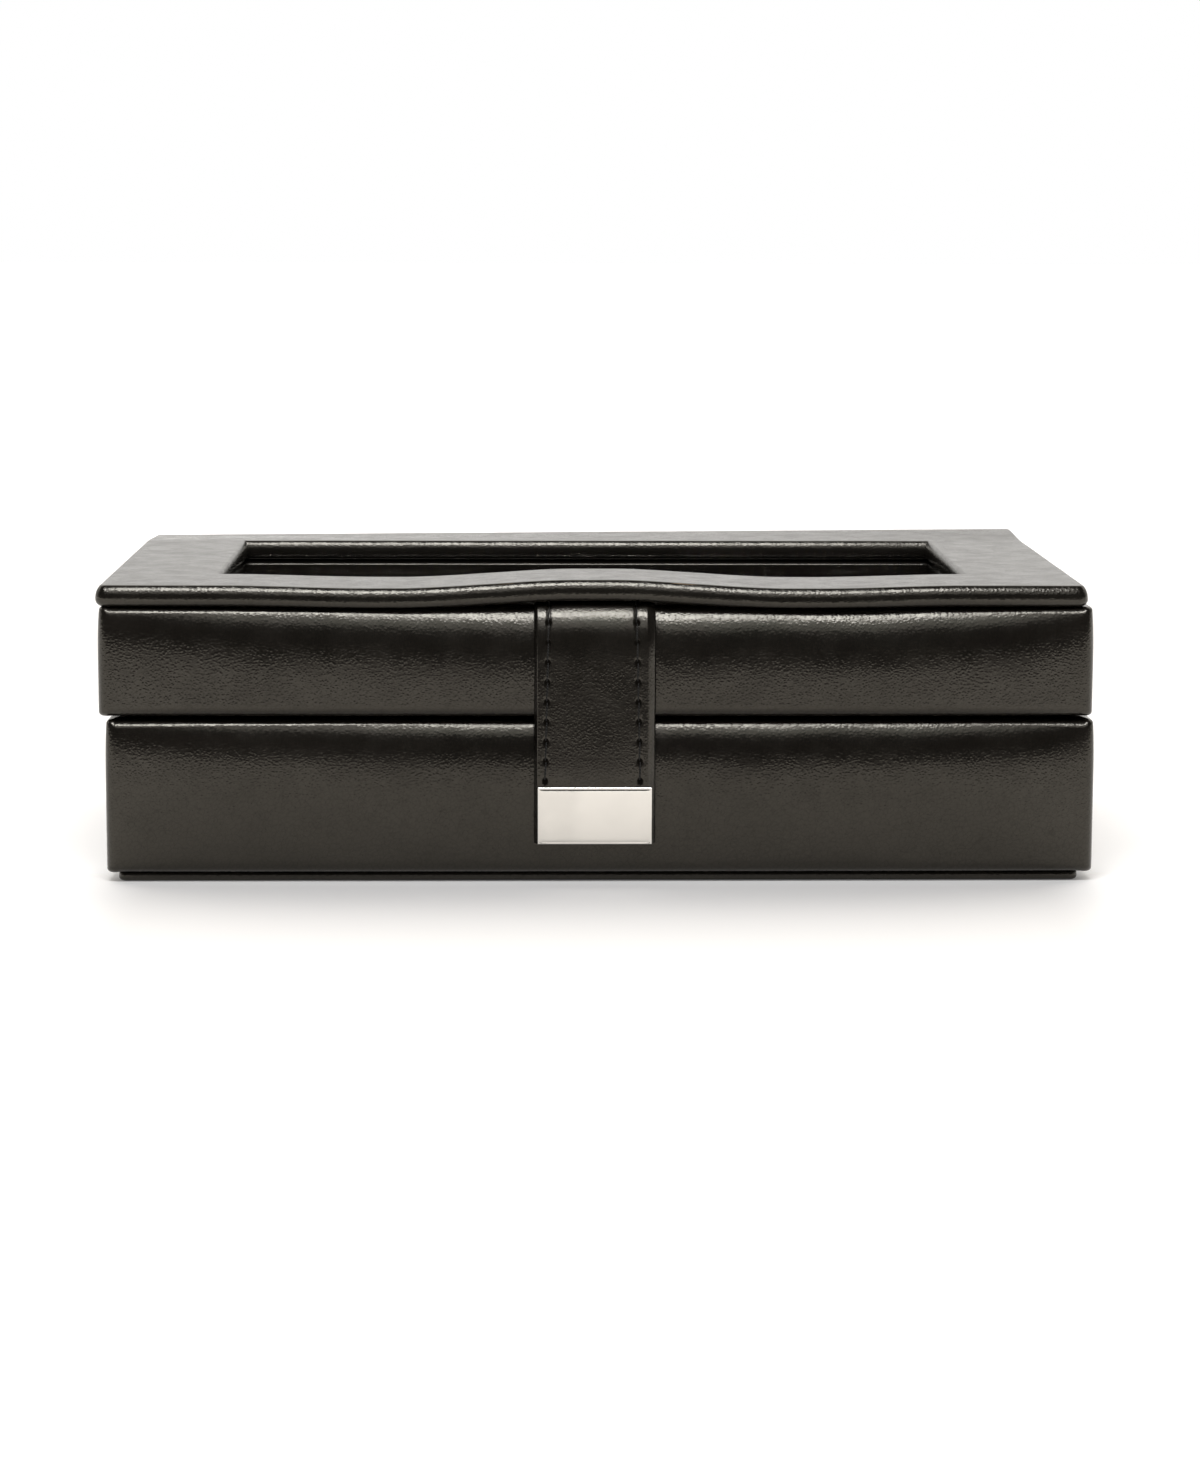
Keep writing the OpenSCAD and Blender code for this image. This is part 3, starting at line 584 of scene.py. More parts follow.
def padded_wall(station, padding):
    """A wall's curve at a station, with an edge that is softer in the middle and a little uneven.
    The left and right walls are drawn tighter over their edges."""
    uneven = ripple((station[0] * HALF_W, station[1] * HALF_D, 0), SOFT_SIZE, padding.seed)
    soft = min(station[4] * (1 + SOFT_UNEVEN * uneven), 1)
    radius, lean, gather, proud = [edge + (middle - edge) * soft for edge, middle in padding[1:5]]
    tight = 1 - SIDE_CRISP * abs(station[2])
    return wall_curve(padding.height, LOW_R * tight, radius * tight, math.radians(lean * tight), gather, proud)


def base_section(station):
    height = BASE_Z1 - BASE_Z0
    wall = padded_wall(station, BASE_PADDING)
    free = smoothstep(0.5, 4, wall[:, 1]) * smoothstep(BASE_DROP, BASE_DROP + EDGE_FADE, height - wall[:, 1])
    outer = np.concatenate([
        freed(spots((BOARD_OUT, 0))),
        freed(wall, free),
        freed(spots(*[(d, height) for d in np.linspace(wall[-1, 0], WALL_T - RIM_R, 5)[1:-1]])),
        freed(bend(WALL_T - RIM_R, height - RIM_R, RIM_R, 90, 180, 4)),
        freed(spots((WALL_T, height - TURN_IN))),
    ])
    inner = spots(
        (BOARD_OUT, height - TURN_IN), (BOARD_OUT, height - BASE_CAP), (BOARD_IN, height - BASE_CAP),
        (BOARD_IN, SKIN_T), (BOARD_OUT, SKIN_T))
    return skin_section(station, outer, inner, BASE_Z0, 11, BASE_SIDES)


def lid_section(station):
    height, window, top = LID_PADDING.height, WINDOW_Z0 - LID_Z0, TOP_BOARD_Z1 - LID_Z0
    edge = RAIL_W - WINDOW_EDGE_IN
    turned = (WINDOW_R - WINDOW_EDGE_R) * math.sin(math.radians(45))
    wall = padded_wall(station, LID_PADDING)
    free = smoothstep(0, EDGE_FADE, wall[:, 1]) * smoothstep(0, EDGE_FADE, height - wall[:, 1])
    outer = np.concatenate([
        freed(spots((WALL_T, TURN_IN))),
        freed(bend(WALL_T - RIM_R, RIM_R, RIM_R, 180, 270, 4)),
        freed(wall, free),
        freed(spots(*[(d, height) for d in np.linspace(wall[-1, 0], edge - WINDOW_R, 5)[1:-1]])),
        freed(bend(edge - WINDOW_EDGE_R - turned, height - WINDOW_R, WINDOW_R, 90, 135, 6)),
        freed(bend(edge - WINDOW_EDGE_R, height - WINDOW_R + turned, WINDOW_EDGE_R, 135, 180, 6)[1:]),
        freed(bend(edge - RIM_R, window + RIM_R, RIM_R, 180, 270, 4)),
        freed(spots((RAIL_W - TURN_IN, window))),
    ])
    inner = spots(
        (RAIL_W - TURN_IN, window + SKIN_T), (RAIL_W - SKIN_T, window + SKIN_T), (RAIL_W - SKIN_T, top),
        (BOARD_IN, top), (BOARD_IN, RIM_PAD), (BOARD_OUT, RIM_PAD), (BOARD_OUT, TURN_IN))
    return skin_section(station, outer, inner, LID_Z0, 23, LID_SIDES)


LEAF_CLEAR, WAY_OUT = 0.2, 4


def leaf_cutters(nodes, z0, z1):
    """Boxes that clear the hinge leaves and the way out behind them."""
    return [cutter((low[0] - LEAF_CLEAR, low[1] - LEAF_CLEAR, z0), (high[0] + LEAF_CLEAR, HALF_D + WAY_OUT, z1))
            for low, high in map(span, nodes)]


def make_skins():
    round_the_box = stations()
    base = cut(ring_mesh("base_skin", [base_section(s) for s in round_the_box]),
               leaf_cutters(["hinge_left_base_leaf", "hinge_right_base_leaf"], BASE_Z1 - LEAF_T, BASE_Z1 + WAY_OUT))
    lid = cut(ring_mesh("lid_skin", [lid_section(s) for s in round_the_box]),
              leaf_cutters(["hinge_left_lid_leaf", "hinge_right_lid_leaf"], LID_Z0 - WAY_OUT, LID_Z0 + LEAF_T))
    base = finished("base_skin", base, LEATHER, "base")
    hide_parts("base_wrap", "base_padding")
    lid = finished("lid_skin", lid, LEATHER, "lid")
    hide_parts("lid_wrap", "lid_padding")


def make_bottom():
    """The covered board under the base, with rolled edges that aren't quite straight."""
    low, high = span("base_bottom_board")
    half_w, half_d, r, corner, inner = high[0], high[1], 0.8, 2.0, 6.0
    profile = [(inset, z) for inset, z, _tilt in bend(r, low[2] + r, r, -90, 0, 5)]
    profile += [(inset, z) for inset, z, _tilt in bend(r, high[2] - r, r, 0, 90, 5)]
    sections = []
    for inset, z in [(inner, low[2]), *profile, (inner, high[2])]:
        loop = []
        for x, y, nx, ny, _soft in stations():
            c = max(corner - inset, CREASE_R)
            px, py = x * (half_w - inset - c) + nx * c, y * (half_d - inset - c) + ny * c
            push = 0.12 * ripple((px, py, 0), 15, 61)
            loop.append((px + nx * push + BOTTOM_SHIFT, py + ny * push, z))
        sections.append(loop)
    board = finished("bottom_cover", mesh_from("bottom_cover", *tube_parts(sections)), LEATHER, "base")
    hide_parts("base_bottom_board")


# Window frame. The front rail's dips start and end at these places along x, and fade by depth and height

COVER_FOLD_R, COVER_ROLL_R, COVER_LOW_R = 0.6, 4.0, 1.5
COVER_FOLD, WINDOW_FOLD = 40, 34
TWIST = 0.8
DIP, DIP_START, DIP_END = 0.6, (22, 40), (46, 76)
DIP_EDGE, DIP_TOP = (0.3, 1.8), (0, 2)


def bow(x):
    """Lift of the front rail over the strap."""
    return BOW_H * (1 - smoothstep(BOW_FLAT, BOW_END, abs(x)))


def dip(x, depth, z):
    """Sag of the front rail on either side of the strap. Its underside stays on the lid."""
    loose = max(smoothstep(*DIP_TOP, z), 1 - smoothstep(*DIP_EDGE, depth))
    return DIP * loose * smoothstep(*DIP_START, abs(x)) * (1 - smoothstep(*DIP_END, abs(x)))


def along(v, depth, half):
    """Place along a rail: square to it beside the window, then fanned out to the corner."""
    inside = half - RAIL_W - 1
    r = max(CORNER_R - depth, CREASE_R)
    out = inside * min(abs(v), 1) + (half - depth - r - inside) * max(abs(v) - 1, 0)
    return math.copysign(out, v)


def twist(x, y, z):
    """The rear rail isn't quite flat: its outer edge stands a little higher at the right than at the left."""
    return TWIST * x / HALF_W * smoothstep(HALF_D - RAIL_W, HALF_D, y) * z / COVER_T


def rail_places(side, v, depth):
    """Plan place of a point of a rail: side 0 is the front, then right, back and left."""
    a = along(v, depth, (HALF_W, HALF_D)[side % 2])
    return [(a, depth - HALF_D), (HALF_W - depth, a), (-a, HALF_D - depth), (depth - HALF_W, -a)][side]


def cover_sections():
    """The window frame's skin: edges that roll up to a fold, and a front rail that is lifted by the strap."""
    def fold_place(angle):
        fold = math.radians(angle)
        return (COVER_ROLL_R * (1 - math.cos(fold)) + COVER_FOLD_R * math.cos(fold),
                COVER_T - COVER_ROLL_R * math.sin(fold) - COVER_FOLD_R * (1 - math.sin(fold)))

    fold_at, roll_z = fold_place(COVER_FOLD)
    window_at, window_roll_z = fold_place(WINDOW_FOLD)
    flat = [(d, COVER_T, math.pi / 2) for d in np.linspace(fold_at, RAIL_W - window_at, 20)[1:-1]]
    outer = np.concatenate([
        freed(spots((TURN_IN, 0))),
        freed(bend(COVER_LOW_R, COVER_LOW_R, COVER_LOW_R, -90, 0, 7), 0.25),
        freed(bend(COVER_ROLL_R, roll_z, COVER_ROLL_R, 0, COVER_FOLD, 9)[1:], 0.5),
        freed(bend(fold_at, COVER_T - COVER_FOLD_R, COVER_FOLD_R, COVER_FOLD, 90, 6)[1:], 0.4),
        freed(np.array(flat), 0.4),
        freed(bend(RAIL_W - window_at, COVER_T - COVER_FOLD_R, COVER_FOLD_R, 90, 180 - WINDOW_FOLD, 6), 0.4),
        freed(bend(RAIL_W - COVER_ROLL_R, window_roll_z, COVER_ROLL_R, 180 - WINDOW_FOLD, 180, 9)[1:], 0.5),
        freed(bend(RAIL_W - COVER_LOW_R, COVER_LOW_R, COVER_LOW_R, 180, 270, 7), 0.25),
        freed(spots((RAIL_W - TURN_IN, 0))),
    ])
    high = COVER_T - SKIN_T
    inner = spots((RAIL_W - TURN_IN, SKIN_T), (RAIL_W - SKIN_T, SKIN_T), (RAIL_W - SKIN_T, high), (SKIN_T, high),
                  (SKIN_T, SKIN_T), (TURN_IN, SKIN_T))

    def skin_point(x, y, point, normal, lift=0.0):
        depth, z, tilt, amount = point
        p = np.array((x, y, LID_Z1 + z + twist(x, y, z) + lift))
        p[0] += moved(x, COVER_SIDES) * (1 - smoothstep(*COVER_MOVED, depth))
        return rippled(p, *normal, tilt, amount, 31)

    normals = [(0, -1), (1, 0), (0, 1), (-1, 0)]
    fan = np.linspace(1, 2, FAN_N)[1:-1]
    sections = []
    for side, corner in enumerate(CORNERS):
        for v in [*-fan[::-1], *np.linspace(-1, 1, RAIL_N[side % 2]), *fan]:
            section = []
            for point in outer:
                x, y = rail_places(side, v, point[0])
                lift = bow(x) - dip(x, *point[:2]) if side == 0 else 0.0
                section.append(skin_point(x, y, point, normals[side], lift))
            for depth, z, _tilt in inner:
                x, y = rail_places(side, v, depth)
                section.append((x, y, LID_Z1 + z + (bow(x) if side == 0 else 0.0)))
            sections.append(section)
        for station in corner_stations(corner):
            section = [skin_point(*placed(station, point[0], CORNER_R), point, station[2:4]) for point in outer]
            section += [(*placed(station, depth, CREASE_R), LID_Z1 + z) for depth, z, _tilt in inner]
            sections.append(section)
    return sections


def make_cover():
    cover = finished("cover_skin", ring_mesh("cover_skin", cover_sections()), LEATHER, "lid")
    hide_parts("cover_wrap")


# Strap: places of its stitch rows and how they drift, its holes, its relief and the width of its bevelled edges

ROW_LEFT, ROW_RIGHT, ROW_HALF, ROW_DRIFT, ROW_LEN = -9.5, 8.6, 0.9, 1.0, 45
HOLES, FIRST_HOLE, HOLE_R = 12, 1.9, 0.5
GROOVE, PILLOW, HOLE_DEPTH = 0.12, 0.1, 0.22
LEFT_EDGE, RIGHT_EDGE = 0.8, 1.8


def path_lengths(points):
    """Distance along a path from its last point, at each point."""
    steps = np.linalg.norm(np.diff(points, axis=0), axis=1)
    return np.concatenate([np.cumsum(steps[::-1])[::-1], [0]])


def stitch_holes():
    """Distances of the holes from the strap's end, from the tip up over the bend."""
    first = TIP_HIGH[2] - STRAP_END + FIRST_HOLE
    return first + STITCH_PITCH * np.arange(HOLES)


def stitch_rows(s):
    """Where the two rows of stitches are across the strap. Sewn by eye, they drift apart towards the tip."""
    drift = ROW_DRIFT * (1 - s / ROW_LEN)
    return ROW_LEFT - drift, ROW_RIGHT + drift


def needle_hole(x, s, holes):
    """1 in the middle of a needle hole, falling to 0 round it."""
    off = min(abs(x - row) for row in stitch_rows(s))
    return math.exp(-((off / HOLE_R) ** 2) - (np.abs(holes - s).min() / HOLE_R) ** 2)


def strap_relief(x, s, holes):
    """Height of the outer leather over its flat: sunk stitch rows, a pillow between them and dimples at the holes."""
    left, right = stitch_rows(s)
    groove = -GROOVE * sum(math.exp(-(((x - row) / HOLE_R) ** 2)) for row in (left, right))
    share = abs(x - (left + right) / 2) / (right - left) * 2
    pillow = PILLOW * (1 - min(share, 1) ** 4)
    return groove + pillow - HOLE_DEPTH * needle_hole(x, s, holes)


def strap_across(s):
    """Places across the strap's face, close together at the stitch rows."""
    left, right = stitch_rows(s)
    row = np.linspace(-ROW_HALF, ROW_HALF, 13)
    middle = np.linspace(left + ROW_HALF, right - ROW_HALF, 18)[1:-1]
    return np.concatenate([left + row, middle, right + row])


def strap_edge(t, width):
    """A bevelled edge from the face to the back: how far in from the side, and the height over the back."""
    bevel = [(1.0, 0.0), (0.92, 0.014), (0.83, 0.05), (0.73, 0.115), (0.53, 0.265), (0.33, 0.42), (0.2, 0.52),
             (0.1, 0.61), (0.03, 0.71), (0.0, 0.82), (0.03, 0.9), (0.12, 0.965), (0.3, 1.0)]
    return [(i * width, t * (1 - drop)) for i, drop in bevel]


def make_strap():
    lengths, holes = path_lengths(STRAP_PATH[:, :2]), stitch_holes()
    sections, sunk = [], []
    for i, up, t, s in zip(STRAP_INNER, STRAP_NORMAL, STRAP_PATH[:, 3], lengths):
        profile = [(x, t + strap_relief(x, s, holes)) for x in strap_across(s)]
        profile += [(STRAP_HALF - inset, h) for inset, h in strap_edge(t, RIGHT_EDGE)]
        profile += [(x, 0.0) for x in np.linspace(STRAP_HALF - RIGHT_EDGE, LEFT_EDGE - STRAP_HALF, 10)]
        profile += [(inset - STRAP_HALF, h) for inset, h in strap_edge(t, LEFT_EDGE)[::-1]]
        section = []
        for x, h in profile:
            d, z = i + up * h
            p = np.array((x, d - HALF_D, z))
            section.append(p + np.array((0, -1, 0)) * 0.05 * ripple(p, 9, 41) * (h > t / 2))
        sections.append(section)
        # Each point's share of a needle hole, stored for the material, which paints shade into the holes.
        sunk += [needle_hole(x, s, holes) if h > t / 2 else 0.0 for x, h in profile]
    strap = finished("strap_leather", mesh_from("strap_leather", *tube_parts(sections)), STRAP_LEATHER)
    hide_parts("strap_root", "strap_outer", "strap_lining")
    strap.data.attributes.new("needle_hole", "FLOAT", "POINT").data.foreach_set("value", np.array(sunk, np.float32))
    return strap


def make_stitches():
    """Short threads from hole to hole, which dip into the leather at both ends."""
    lengths, holes = path_lengths(STRAP_PATH[:, :2]), stitch_holes()
    thread_r, sunk, rise, slant = 0.18, 0.5, 0.4, 0.2
    order = np.argsort(lengths)
    points, faces = [], []
    for row in (0, 1):
        for a, b in zip(holes, holes[1:]):
            sections = []
            for t in np.linspace(0.04, 0.96, 12):
                s = a + (b - a) * t
                d, z, tilt = (np.interp(s, lengths[order], STRAP_PATH[order, k]) for k in (0, 1, 2))
                o, up = np.array((d, z)), np.array((-math.cos(tilt), math.sin(tilt)))
                lift = -sunk + rise * math.sin(math.pi * t) ** 0.6
                side = stitch_rows(s)[row] + slant * (t - 0.5)
                r = thread_r * (0.8 + 0.2 * math.sin(math.pi * t))
                ring = []
                for angle in np.linspace(0, 2 * math.pi, 8, endpoint=False):
                    d, z = o + up * (lift + r * math.sin(angle))
                    ring.append((side + r * math.cos(angle), d - HALF_D, z))
                sections.append(ring)
            more, quads = tube_parts(sections, len(points))
            points += more
            faces += quads
    stitches = finished("strap_stitches", mesh_from("strap_stitches", points, faces), THREAD)
    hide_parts("strap_stitching")
    return stitches


def make_tip():
    """The polished tip: a plate with a raised panel inside its rim, and its fold round the strap's end."""
    low, high = TIP_LOW - np.array((0, STRAP_OUT, 0)), TIP_HIGH - np.array((0, STRAP_OUT, 0))
    rim, step, rise, edge = 0.4, 0.3, 0.05, 0.2
    trim, lift, plate_t, fold_t, fold_h, bevel = 0.12, 0.82, 0.7, 0.5, 8.0, 0.15
    half = (high - low) / 2 - np.array((0, 0, trim))
    middle = (high + low) / 2 + np.array((0, 0, lift))

    def shares(length):
        near = np.array([0, 0.03, 0.08, 0.16, edge, rim, rim + 0.1, rim + 0.2, rim + step, rim + step + 0.5])
        inside = np.linspace(near[-1], length, 10)[1:]
        side = np.concatenate([near, inside])
        return np.concatenate([side - length, (length - side)[-2::-1]])

    def front(x, z):
        e = min(half[0] - abs(x), half[2] - abs(z))
        round_off = edge - math.sqrt(max(edge**2 - max(edge - e, 0) ** 2, 0))
        crown = 0.04 * (x / half[0]) ** 2 + 0.03 * (z / half[2]) ** 2
        return low[1] + round_off + rise * (1 - smoothstep(rim, rim + step, e)) + crown * (e > rim)

    xs, zs = shares(half[0]), shares(half[2])
    points = [(middle[0] + x, front(x, z), middle[2] + z) for x in xs for z in zs]
    faces, loop = grid_faces(len(xs), len(zs))
    plate_y = low[1] + plate_t
    for y, inset in ((plate_y - bevel, 0.0), (plate_y, bevel)):
        start = len(points)
        points += [(middle[0] + (points[k][0] - middle[0]) * (1 - inset / half[0]), y,
                    middle[2] + (points[k][2] - middle[2]) * (1 - inset / half[2])) for k in loop]
        faces += band_faces(loop, start)
        loop = list(range(start, start + len(loop)))
    faces.append(tuple(loop))
    foot = middle[2] - half[2]
    for corners in (((-half[0], plate_y - 0.2, foot), (half[0], high[1], foot + plate_t)),
                    ((-half[0], high[1] - fold_t, foot), (half[0], high[1], foot + fold_h))):
        more, quads = soft_box(*corners, 0.18, len(points))
        points += more
        faces += quads
    tip = finished("tip_plate", mesh_from("tip_plate", points, faces), NICKEL, "strap")
    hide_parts("strap_tip")


def bend_with_strap(piece):
    """Stores each point's place at rest on a piece, for its material, and bakes the piece's transform into its mesh."""
    mesh = piece.data
    rest = mesh.attributes.new("rest_place", "FLOAT_VECTOR", "POINT")
    rest.data.foreach_set("vector", np.array([v.co for v in mesh.vertices], np.float32).ravel())
    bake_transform(piece)


# Inside


def soft_ring(name, body, replaced):
    """Suede lining of four inner walls, with a rolled upper and lower hem."""
    z0, z1 = heights(replaced)
    hem, proud, turn, drop = 0.5, 0.12, 0.3, 0.15
    zs = np.linspace(z0 + hem, z1 - hem, 10)
    sections = []
    for x, y, nx, ny, soft in stations():
        row = [(BOARD_OUT, z0), (BOARD_OUT, z1), (WALL_T - turn, z1), (WALL_T, z1 - drop)]
        row += [(WALL_T + proud * math.sin(math.pi * (z - z0) / (z1 - z0)) * (0.4 + soft), z) for z in zs[::-1]]
        row += [(WALL_T, z0 + drop), (WALL_T - turn, z0)]
        sections.append([(*placed((x, y, nx, ny), d, CREASE_R), z) for d, z in row])
    lining = finished(name, ring_mesh(name, sections), SUEDE, body)
    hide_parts(replaced)


def cell_edges(low, high, dividers, axis):
    """The compartments' limits along an axis, between the walls and the dividers."""
    walls = [span(d) for d in dividers]
    starts = [low] + [w[1][axis] for w in walls]
    ends = [w[0][axis] for w in walls] + [high]
    return list(zip(starts, ends))


def make_pads():
    """A crowned suede pad on the floor of each compartment, with its edges tucked under the dividers."""
    low, high = span("base_floor_pad")
    columns = cell_edges(low[0], high[0], ["divider_cross_left", "divider_cross_middle", "divider_cross_right"], 0)
    rows = cell_edges(low[1], high[1], ["divider_long_front", "divider_long_rear"], 1)
    n, tuck, crown, sunk = 19, 0.8, 0.8, 0.1
    share = np.sin(np.linspace(-1, 1, n) * math.pi / 2)
    points, faces = [], []
    for x0, x1 in columns:
        for y0, y1 in rows:
            start = len(points)
            for u in share:
                for v in share:
                    x, y = (x0 + x1) / 2 + u * (x1 - x0 + tuck) / 2, (y0 + y1) / 2 + v * (y1 - y0 + tuck) / 2
                    z = high[2] - sunk + crown * (1 - u**6) ** 0.6 * (1 - v**6) ** 0.6
                    points.append((x, y, z + 0.06 * ripple((x, y, 0), 7, 51)))
            quads, rim = grid_faces(n, n, start)
            foot = len(points)
            points += [(points[k][0], points[k][1], low[2]) for k in rim]
            faces += quads + band_faces(rim, foot) + [tuple(range(foot, foot + len(rim)))]
    pads = finished("floor_pads", mesh_from("floor_pads", points, faces), SUEDE, "base")
    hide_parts("base_floor_pad")


# Screws


def make_screws(name, node, body, up):
    """Countersunk screws with a crossed recess, at the places of the CAD screws."""
    low, high = span(node)
    slot_l, slot_w, slot_t, point_l, point_r = 0.95, 0.42, 0.55, 1.2, 0.15
    profile = [(SCREW_HEAD_R - 0.12, 0.0), (SCREW_HEAD_R, -0.1), (SCREW_R, SCREW_R - SCREW_HEAD_R),
               (SCREW_R, point_l - SCREW_LEN), (point_r, -SCREW_LEN)]
    around = np.linspace(0, 2 * math.pi, 24, endpoint=False)
    sections = [[(r * math.cos(a), r * math.sin(a), z) for a in around] for r, z in profile]
    slots = [cutter((-slot_l, -slot_w / 2, -slot_t), (slot_l, slot_w / 2, 1)),
             cutter((-slot_w / 2, -slot_l, -slot_t), (slot_w / 2, slot_l, 1))]
    one = cut(mesh_from("screw", *tube_parts(sections)), slots)
    work = bmesh.new()
    y = (low[1] + high[1]) / 2
    first, last = low[0] + SCREW_HEAD_R, high[0] - SCREW_HEAD_R
    for k, x in enumerate([first, first + SCREW_SPAN, last - SCREW_SPAN, last]):
        turn = Matrix.Rotation(math.radians(17 + 41 * k), 4, "Z")
        flip = Matrix.Identity(4) if up else Matrix.Rotation(math.pi, 4, "X")
        copy = one.copy()
        copy.transform(Matrix.Translation((x, y, high[2] if up else low[2])) @ flip @ turn)
        work.from_mesh(copy)
    screws = finished(name, worked_mesh(name, work), HINGE_METAL, body, sharp=30)
    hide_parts(node)


# CAD nodes that stay


def paint(nodes, material, bevel=0.0):
    """Gives CAD nodes a material and, where asked, softly broken edges."""
    for name in nodes:
        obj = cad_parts[name]
        obj.data.materials.clear()
        obj.data.materials.append(material)
        if bevel:
            step = obj.modifiers.new("broken_edges", "BEVEL")
            step.width, step.segments, step.limit_method = bevel * MM, 3, "ANGLE"
            step.angle_limit = math.radians(40)


def dress_nodes():
    every = list(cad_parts)
    paint([n for n in every if n.endswith(("_wall", "_board"))], BOARD)
    paint([n for n in every if n.startswith("divider_")], SUEDE)
    paint(["pane_frame"], SUEDE, bevel=0.4)
    paint([n for n in every if n.startswith("hinge_")], HINGE_METAL)
    paint([n for n in every if n.endswith("_magnet")], MAGNET)
    paint(["window_pane"], PANE)


# Studio, in metres. The floor's own light is low in front of the object, higher behind and beside it, and white far off

FLOOR_HALF, FLOOR_FRONT, FLOOR_Z = 6.0, -0.6, -0.0001
FLOOR_COLOUR = (0.795, 0.768, 0.738, 1)
FLOOR_GLOW, SIDE_GLOW, FAR_GLOW = 0.01, 0.32, 1.1
GLOW_BEHIND, GLOW_BESIDE, GLOW_FAR = (-0.064, -0.04), (0.09, 0.115), (0.2, 0.9)
ROOM_FRONT, ROOM_LOW, ROOM_HIGH = 0.06, 0.96, 2.4
ROOM_RISE, ROOM_TURN, ROOM_SLANT = (0.3, 0.6), (-0.3, 0.15), -0.3
ROOM_COLOUR = (1, 0.98, 0.945, 1)
CAMERA_PLACE, CAMERA_TURNS = (-0.01416, -0.7694, 0.1418), (1.228, 8.828, 0.16)
PHOTO_HEIGHT, FOCAL_PX = 1466, 3500
LAMP_TARGET = (0, 0, 0.03)


def floor_glow(look):
    """Strength of the floor's own light."""
    place = look.place()
    axes = look.add("ShaderNodeSeparateXYZ", {0: place}).outputs
    far = look.add("ShaderNodeVectorMath", {0: place}, operation="LENGTH").outputs["Value"]
    behind = look.remap(axes["Y"], *GLOW_BEHIND, FLOOR_GLOW, SIDE_GLOW)
    beside = look.remap(look.math("ABSOLUTE", axes["X"]), *GLOW_BESIDE, FLOOR_GLOW, SIDE_GLOW)
    away = look.remap(far, *GLOW_FAR, FLOOR_GLOW, FAR_GLOW)
    return look.math("MAXIMUM", look.math("MAXIMUM", behind, beside), away)


def seen_rays(look):
    """1 for rays that show the background: from the camera, in gloss and through glass."""
    ray = look.add("ShaderNodeLightPath").outputs
    shown = look.math("MAXIMUM", ray["Is Camera Ray"], ray["Is Glossy Ray"])
    return look.math("MAXIMUM", shown, ray["Is Transmission Ray"])


def make_floor():
    """A pale floor that shows white. Its own light is painted light: it lifts the object's shadow beside and behind it,
    and keeps the soft shadow in front.
    """
    mesh = bpy.data.meshes.new("floor")
    mesh.from_pydata([(-FLOOR_HALF, FLOOR_FRONT, 0), (FLOOR_HALF, FLOOR_FRONT, 0), (FLOOR_HALF, FLOOR_HALF, 0),
                      (-FLOOR_HALF, FLOOR_HALF, 0)], [], [(0, 1, 2, 3)])
    floor = bpy.data.objects.new("floor", mesh)
    floor.location.z = FLOOR_Z
    bpy.context.scene.collection.objects.link(floor)
    look = Look("white_floor", {})
    look.tree.nodes.remove(look.shader)
    paper = look.add("ShaderNodeBsdfDiffuse", {"Color": FLOOR_COLOUR})
    strength = look.math("MULTIPLY", seen_rays(look), floor_glow(look))
    glow = look.add("ShaderNodeEmission", {"Strength": strength})
    look.surface(look.add("ShaderNodeAddShader", {0: paper.outputs[0], 1: glow.outputs[0]}))
    mesh.materials.append(look.material)


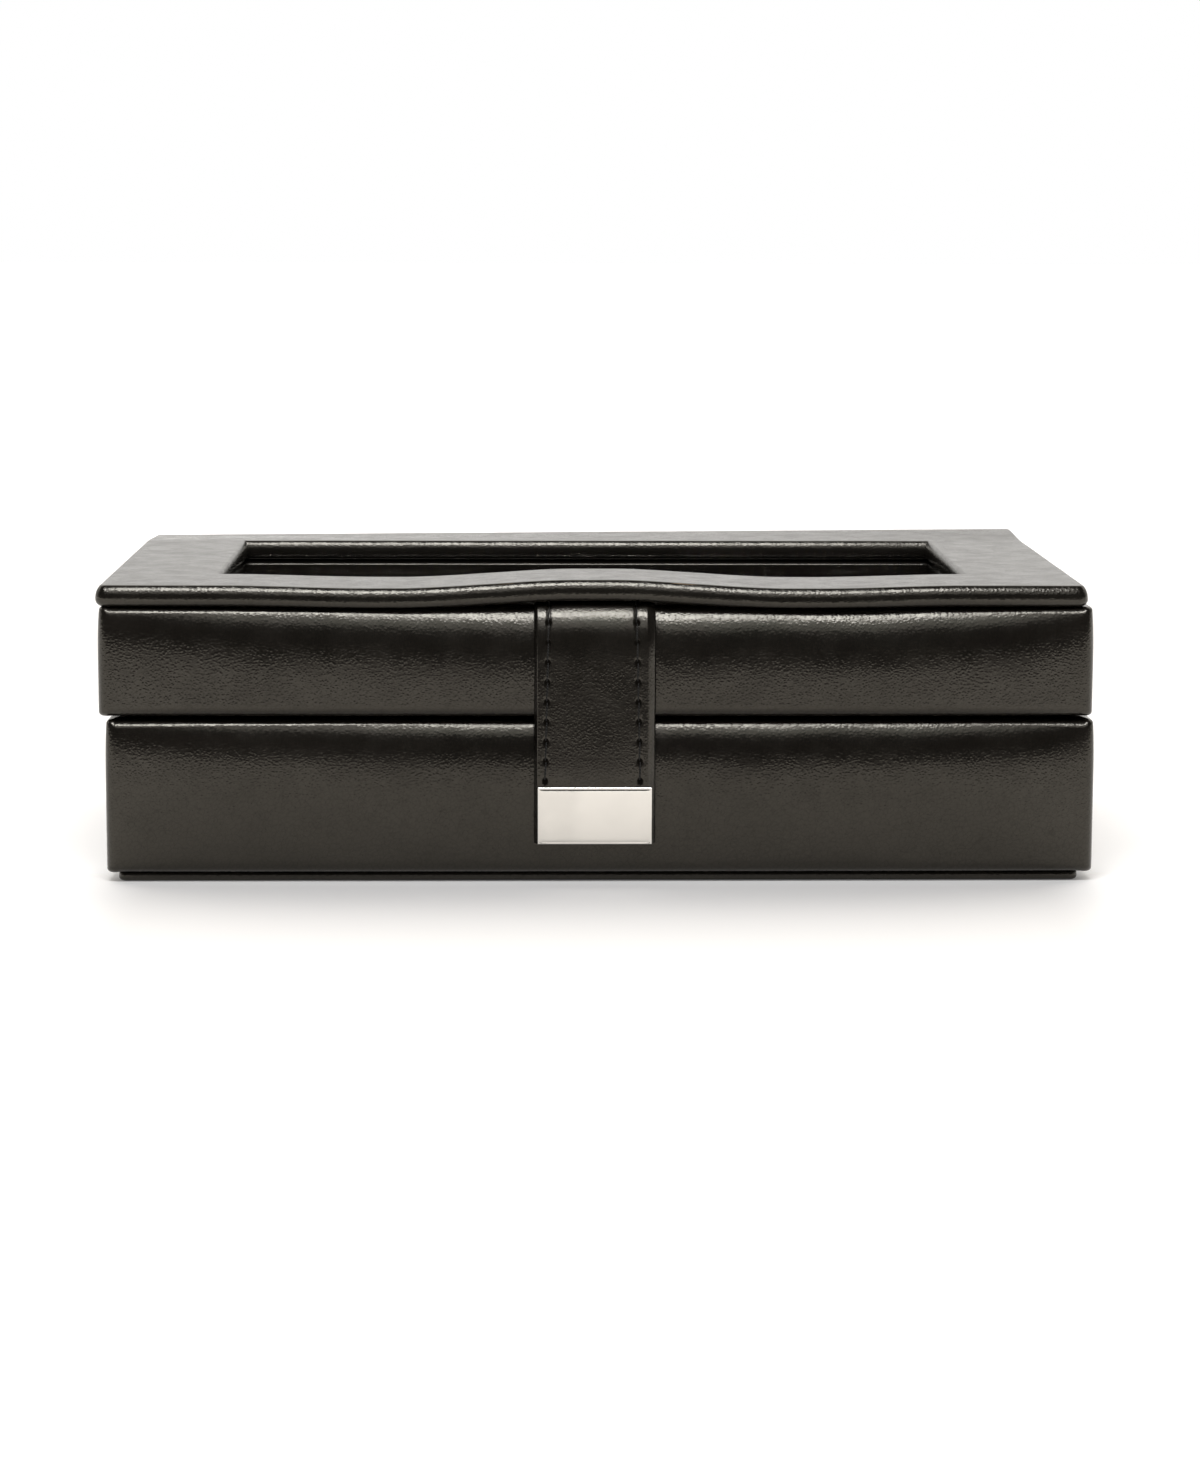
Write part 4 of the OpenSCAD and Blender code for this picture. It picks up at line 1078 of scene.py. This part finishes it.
def make_room():
    """White to the camera. For light and gloss: white low down behind and beside, brighter above that, dim in front."""
    world = bpy.data.worlds.new("studio")
    bpy.context.scene.world = world
    world.use_nodes = True
    room = Nodes(world.node_tree)
    direction = room.add("ShaderNodeTexCoord").outputs["Generated"]
    axes = room.add("ShaderNodeSeparateXYZ", {0: direction}).outputs
    behind = room.remap(axes["Z"], *ROOM_RISE, ROOM_LOW, ROOM_HIGH)
    lowered = room.math("MULTIPLY_ADD", axes["Z"], ROOM_SLANT, axes["Y"])
    light = room.remap(lowered, *ROOM_TURN, ROOM_FRONT, behind)
    studio = room.tree.nodes["Background"]
    studio.inputs["Color"].default_value = ROOM_COLOUR
    room.tree.links.new(light, studio.inputs["Strength"])
    white = room.add("ShaderNodeBackground", {"Color": (1, 1, 1, 1)})
    seen = room.add("ShaderNodeLightPath").outputs["Is Camera Ray"]
    mix = room.add("ShaderNodeMixShader", {"Fac": seen, 1: studio.outputs[0], 2: white.outputs[0]})
    room.surface(mix, "World Output")


def make_lamp(name, place, size, power, colour=(1, 1, 1)):
    """A rectangular lamp that faces the object."""
    light = bpy.data.lights.new(name, "AREA")
    light.color = colour
    light.shape, light.size, light.size_y, light.energy = "RECTANGLE", *size, power
    lamp = bpy.data.objects.new(name, light)
    lamp.location = place
    lamp.rotation_euler = (Vector(LAMP_TARGET) - Vector(place)).to_track_quat("-Z", "Y").to_euler()
    bpy.context.scene.collection.objects.link(lamp)


def make_camera():
    """The photograph's view: from the front, a little above and left of the middle."""
    yaw, pitch, roll = (math.radians(a) for a in CAMERA_TURNS)
    forward = Vector((math.sin(yaw) * math.cos(pitch), math.cos(yaw) * math.cos(pitch), -math.sin(pitch)))
    level = Vector((math.cos(yaw), -math.sin(yaw), 0))
    upright = level.cross(forward)
    right = math.cos(roll) * level + math.sin(roll) * upright
    up = math.cos(roll) * upright - math.sin(roll) * level
    camera = bpy.data.cameras.new("camera")
    camera.sensor_width = 36
    camera.lens = FOCAL_PX * camera.sensor_width / PHOTO_HEIGHT
    camera.clip_start, camera.clip_end = 0.01, 50
    obj = bpy.data.objects.new("camera", camera)
    turn = Matrix((right, up, -forward)).transposed().to_4x4()
    obj.matrix_world = Matrix.Translation(CAMERA_PLACE) @ turn
    bpy.context.scene.collection.objects.link(obj)
    bpy.context.scene.camera = obj


make_skins()
make_bottom()
make_cover()
for flexible in (make_strap(), make_stitches()):
    bend_with_strap(flexible)
make_tip()
soft_ring("base_wall_lining", "base", "base_lining")
soft_ring("lid_wall_lining", "lid", "lid_lining")
make_pads()
make_screws("base_leaf_screws", "hinge_base_screws", "base", up=True)
make_screws("lid_leaf_screws", "hinge_lid_screws", "lid", up=False)
dress_nodes()

make_floor()
make_room()
make_lamp("softbox", (-0.05, -0.472, 0.613), (0.42, 0.14), 3.7, (0.92, 0.95, 1.0))
make_lamp("fill", (0, -0.575, 0.586), (0.5, 0.44), 0.95)
make_camera()
bpy.context.scene.view_settings.view_transform = "Standard"
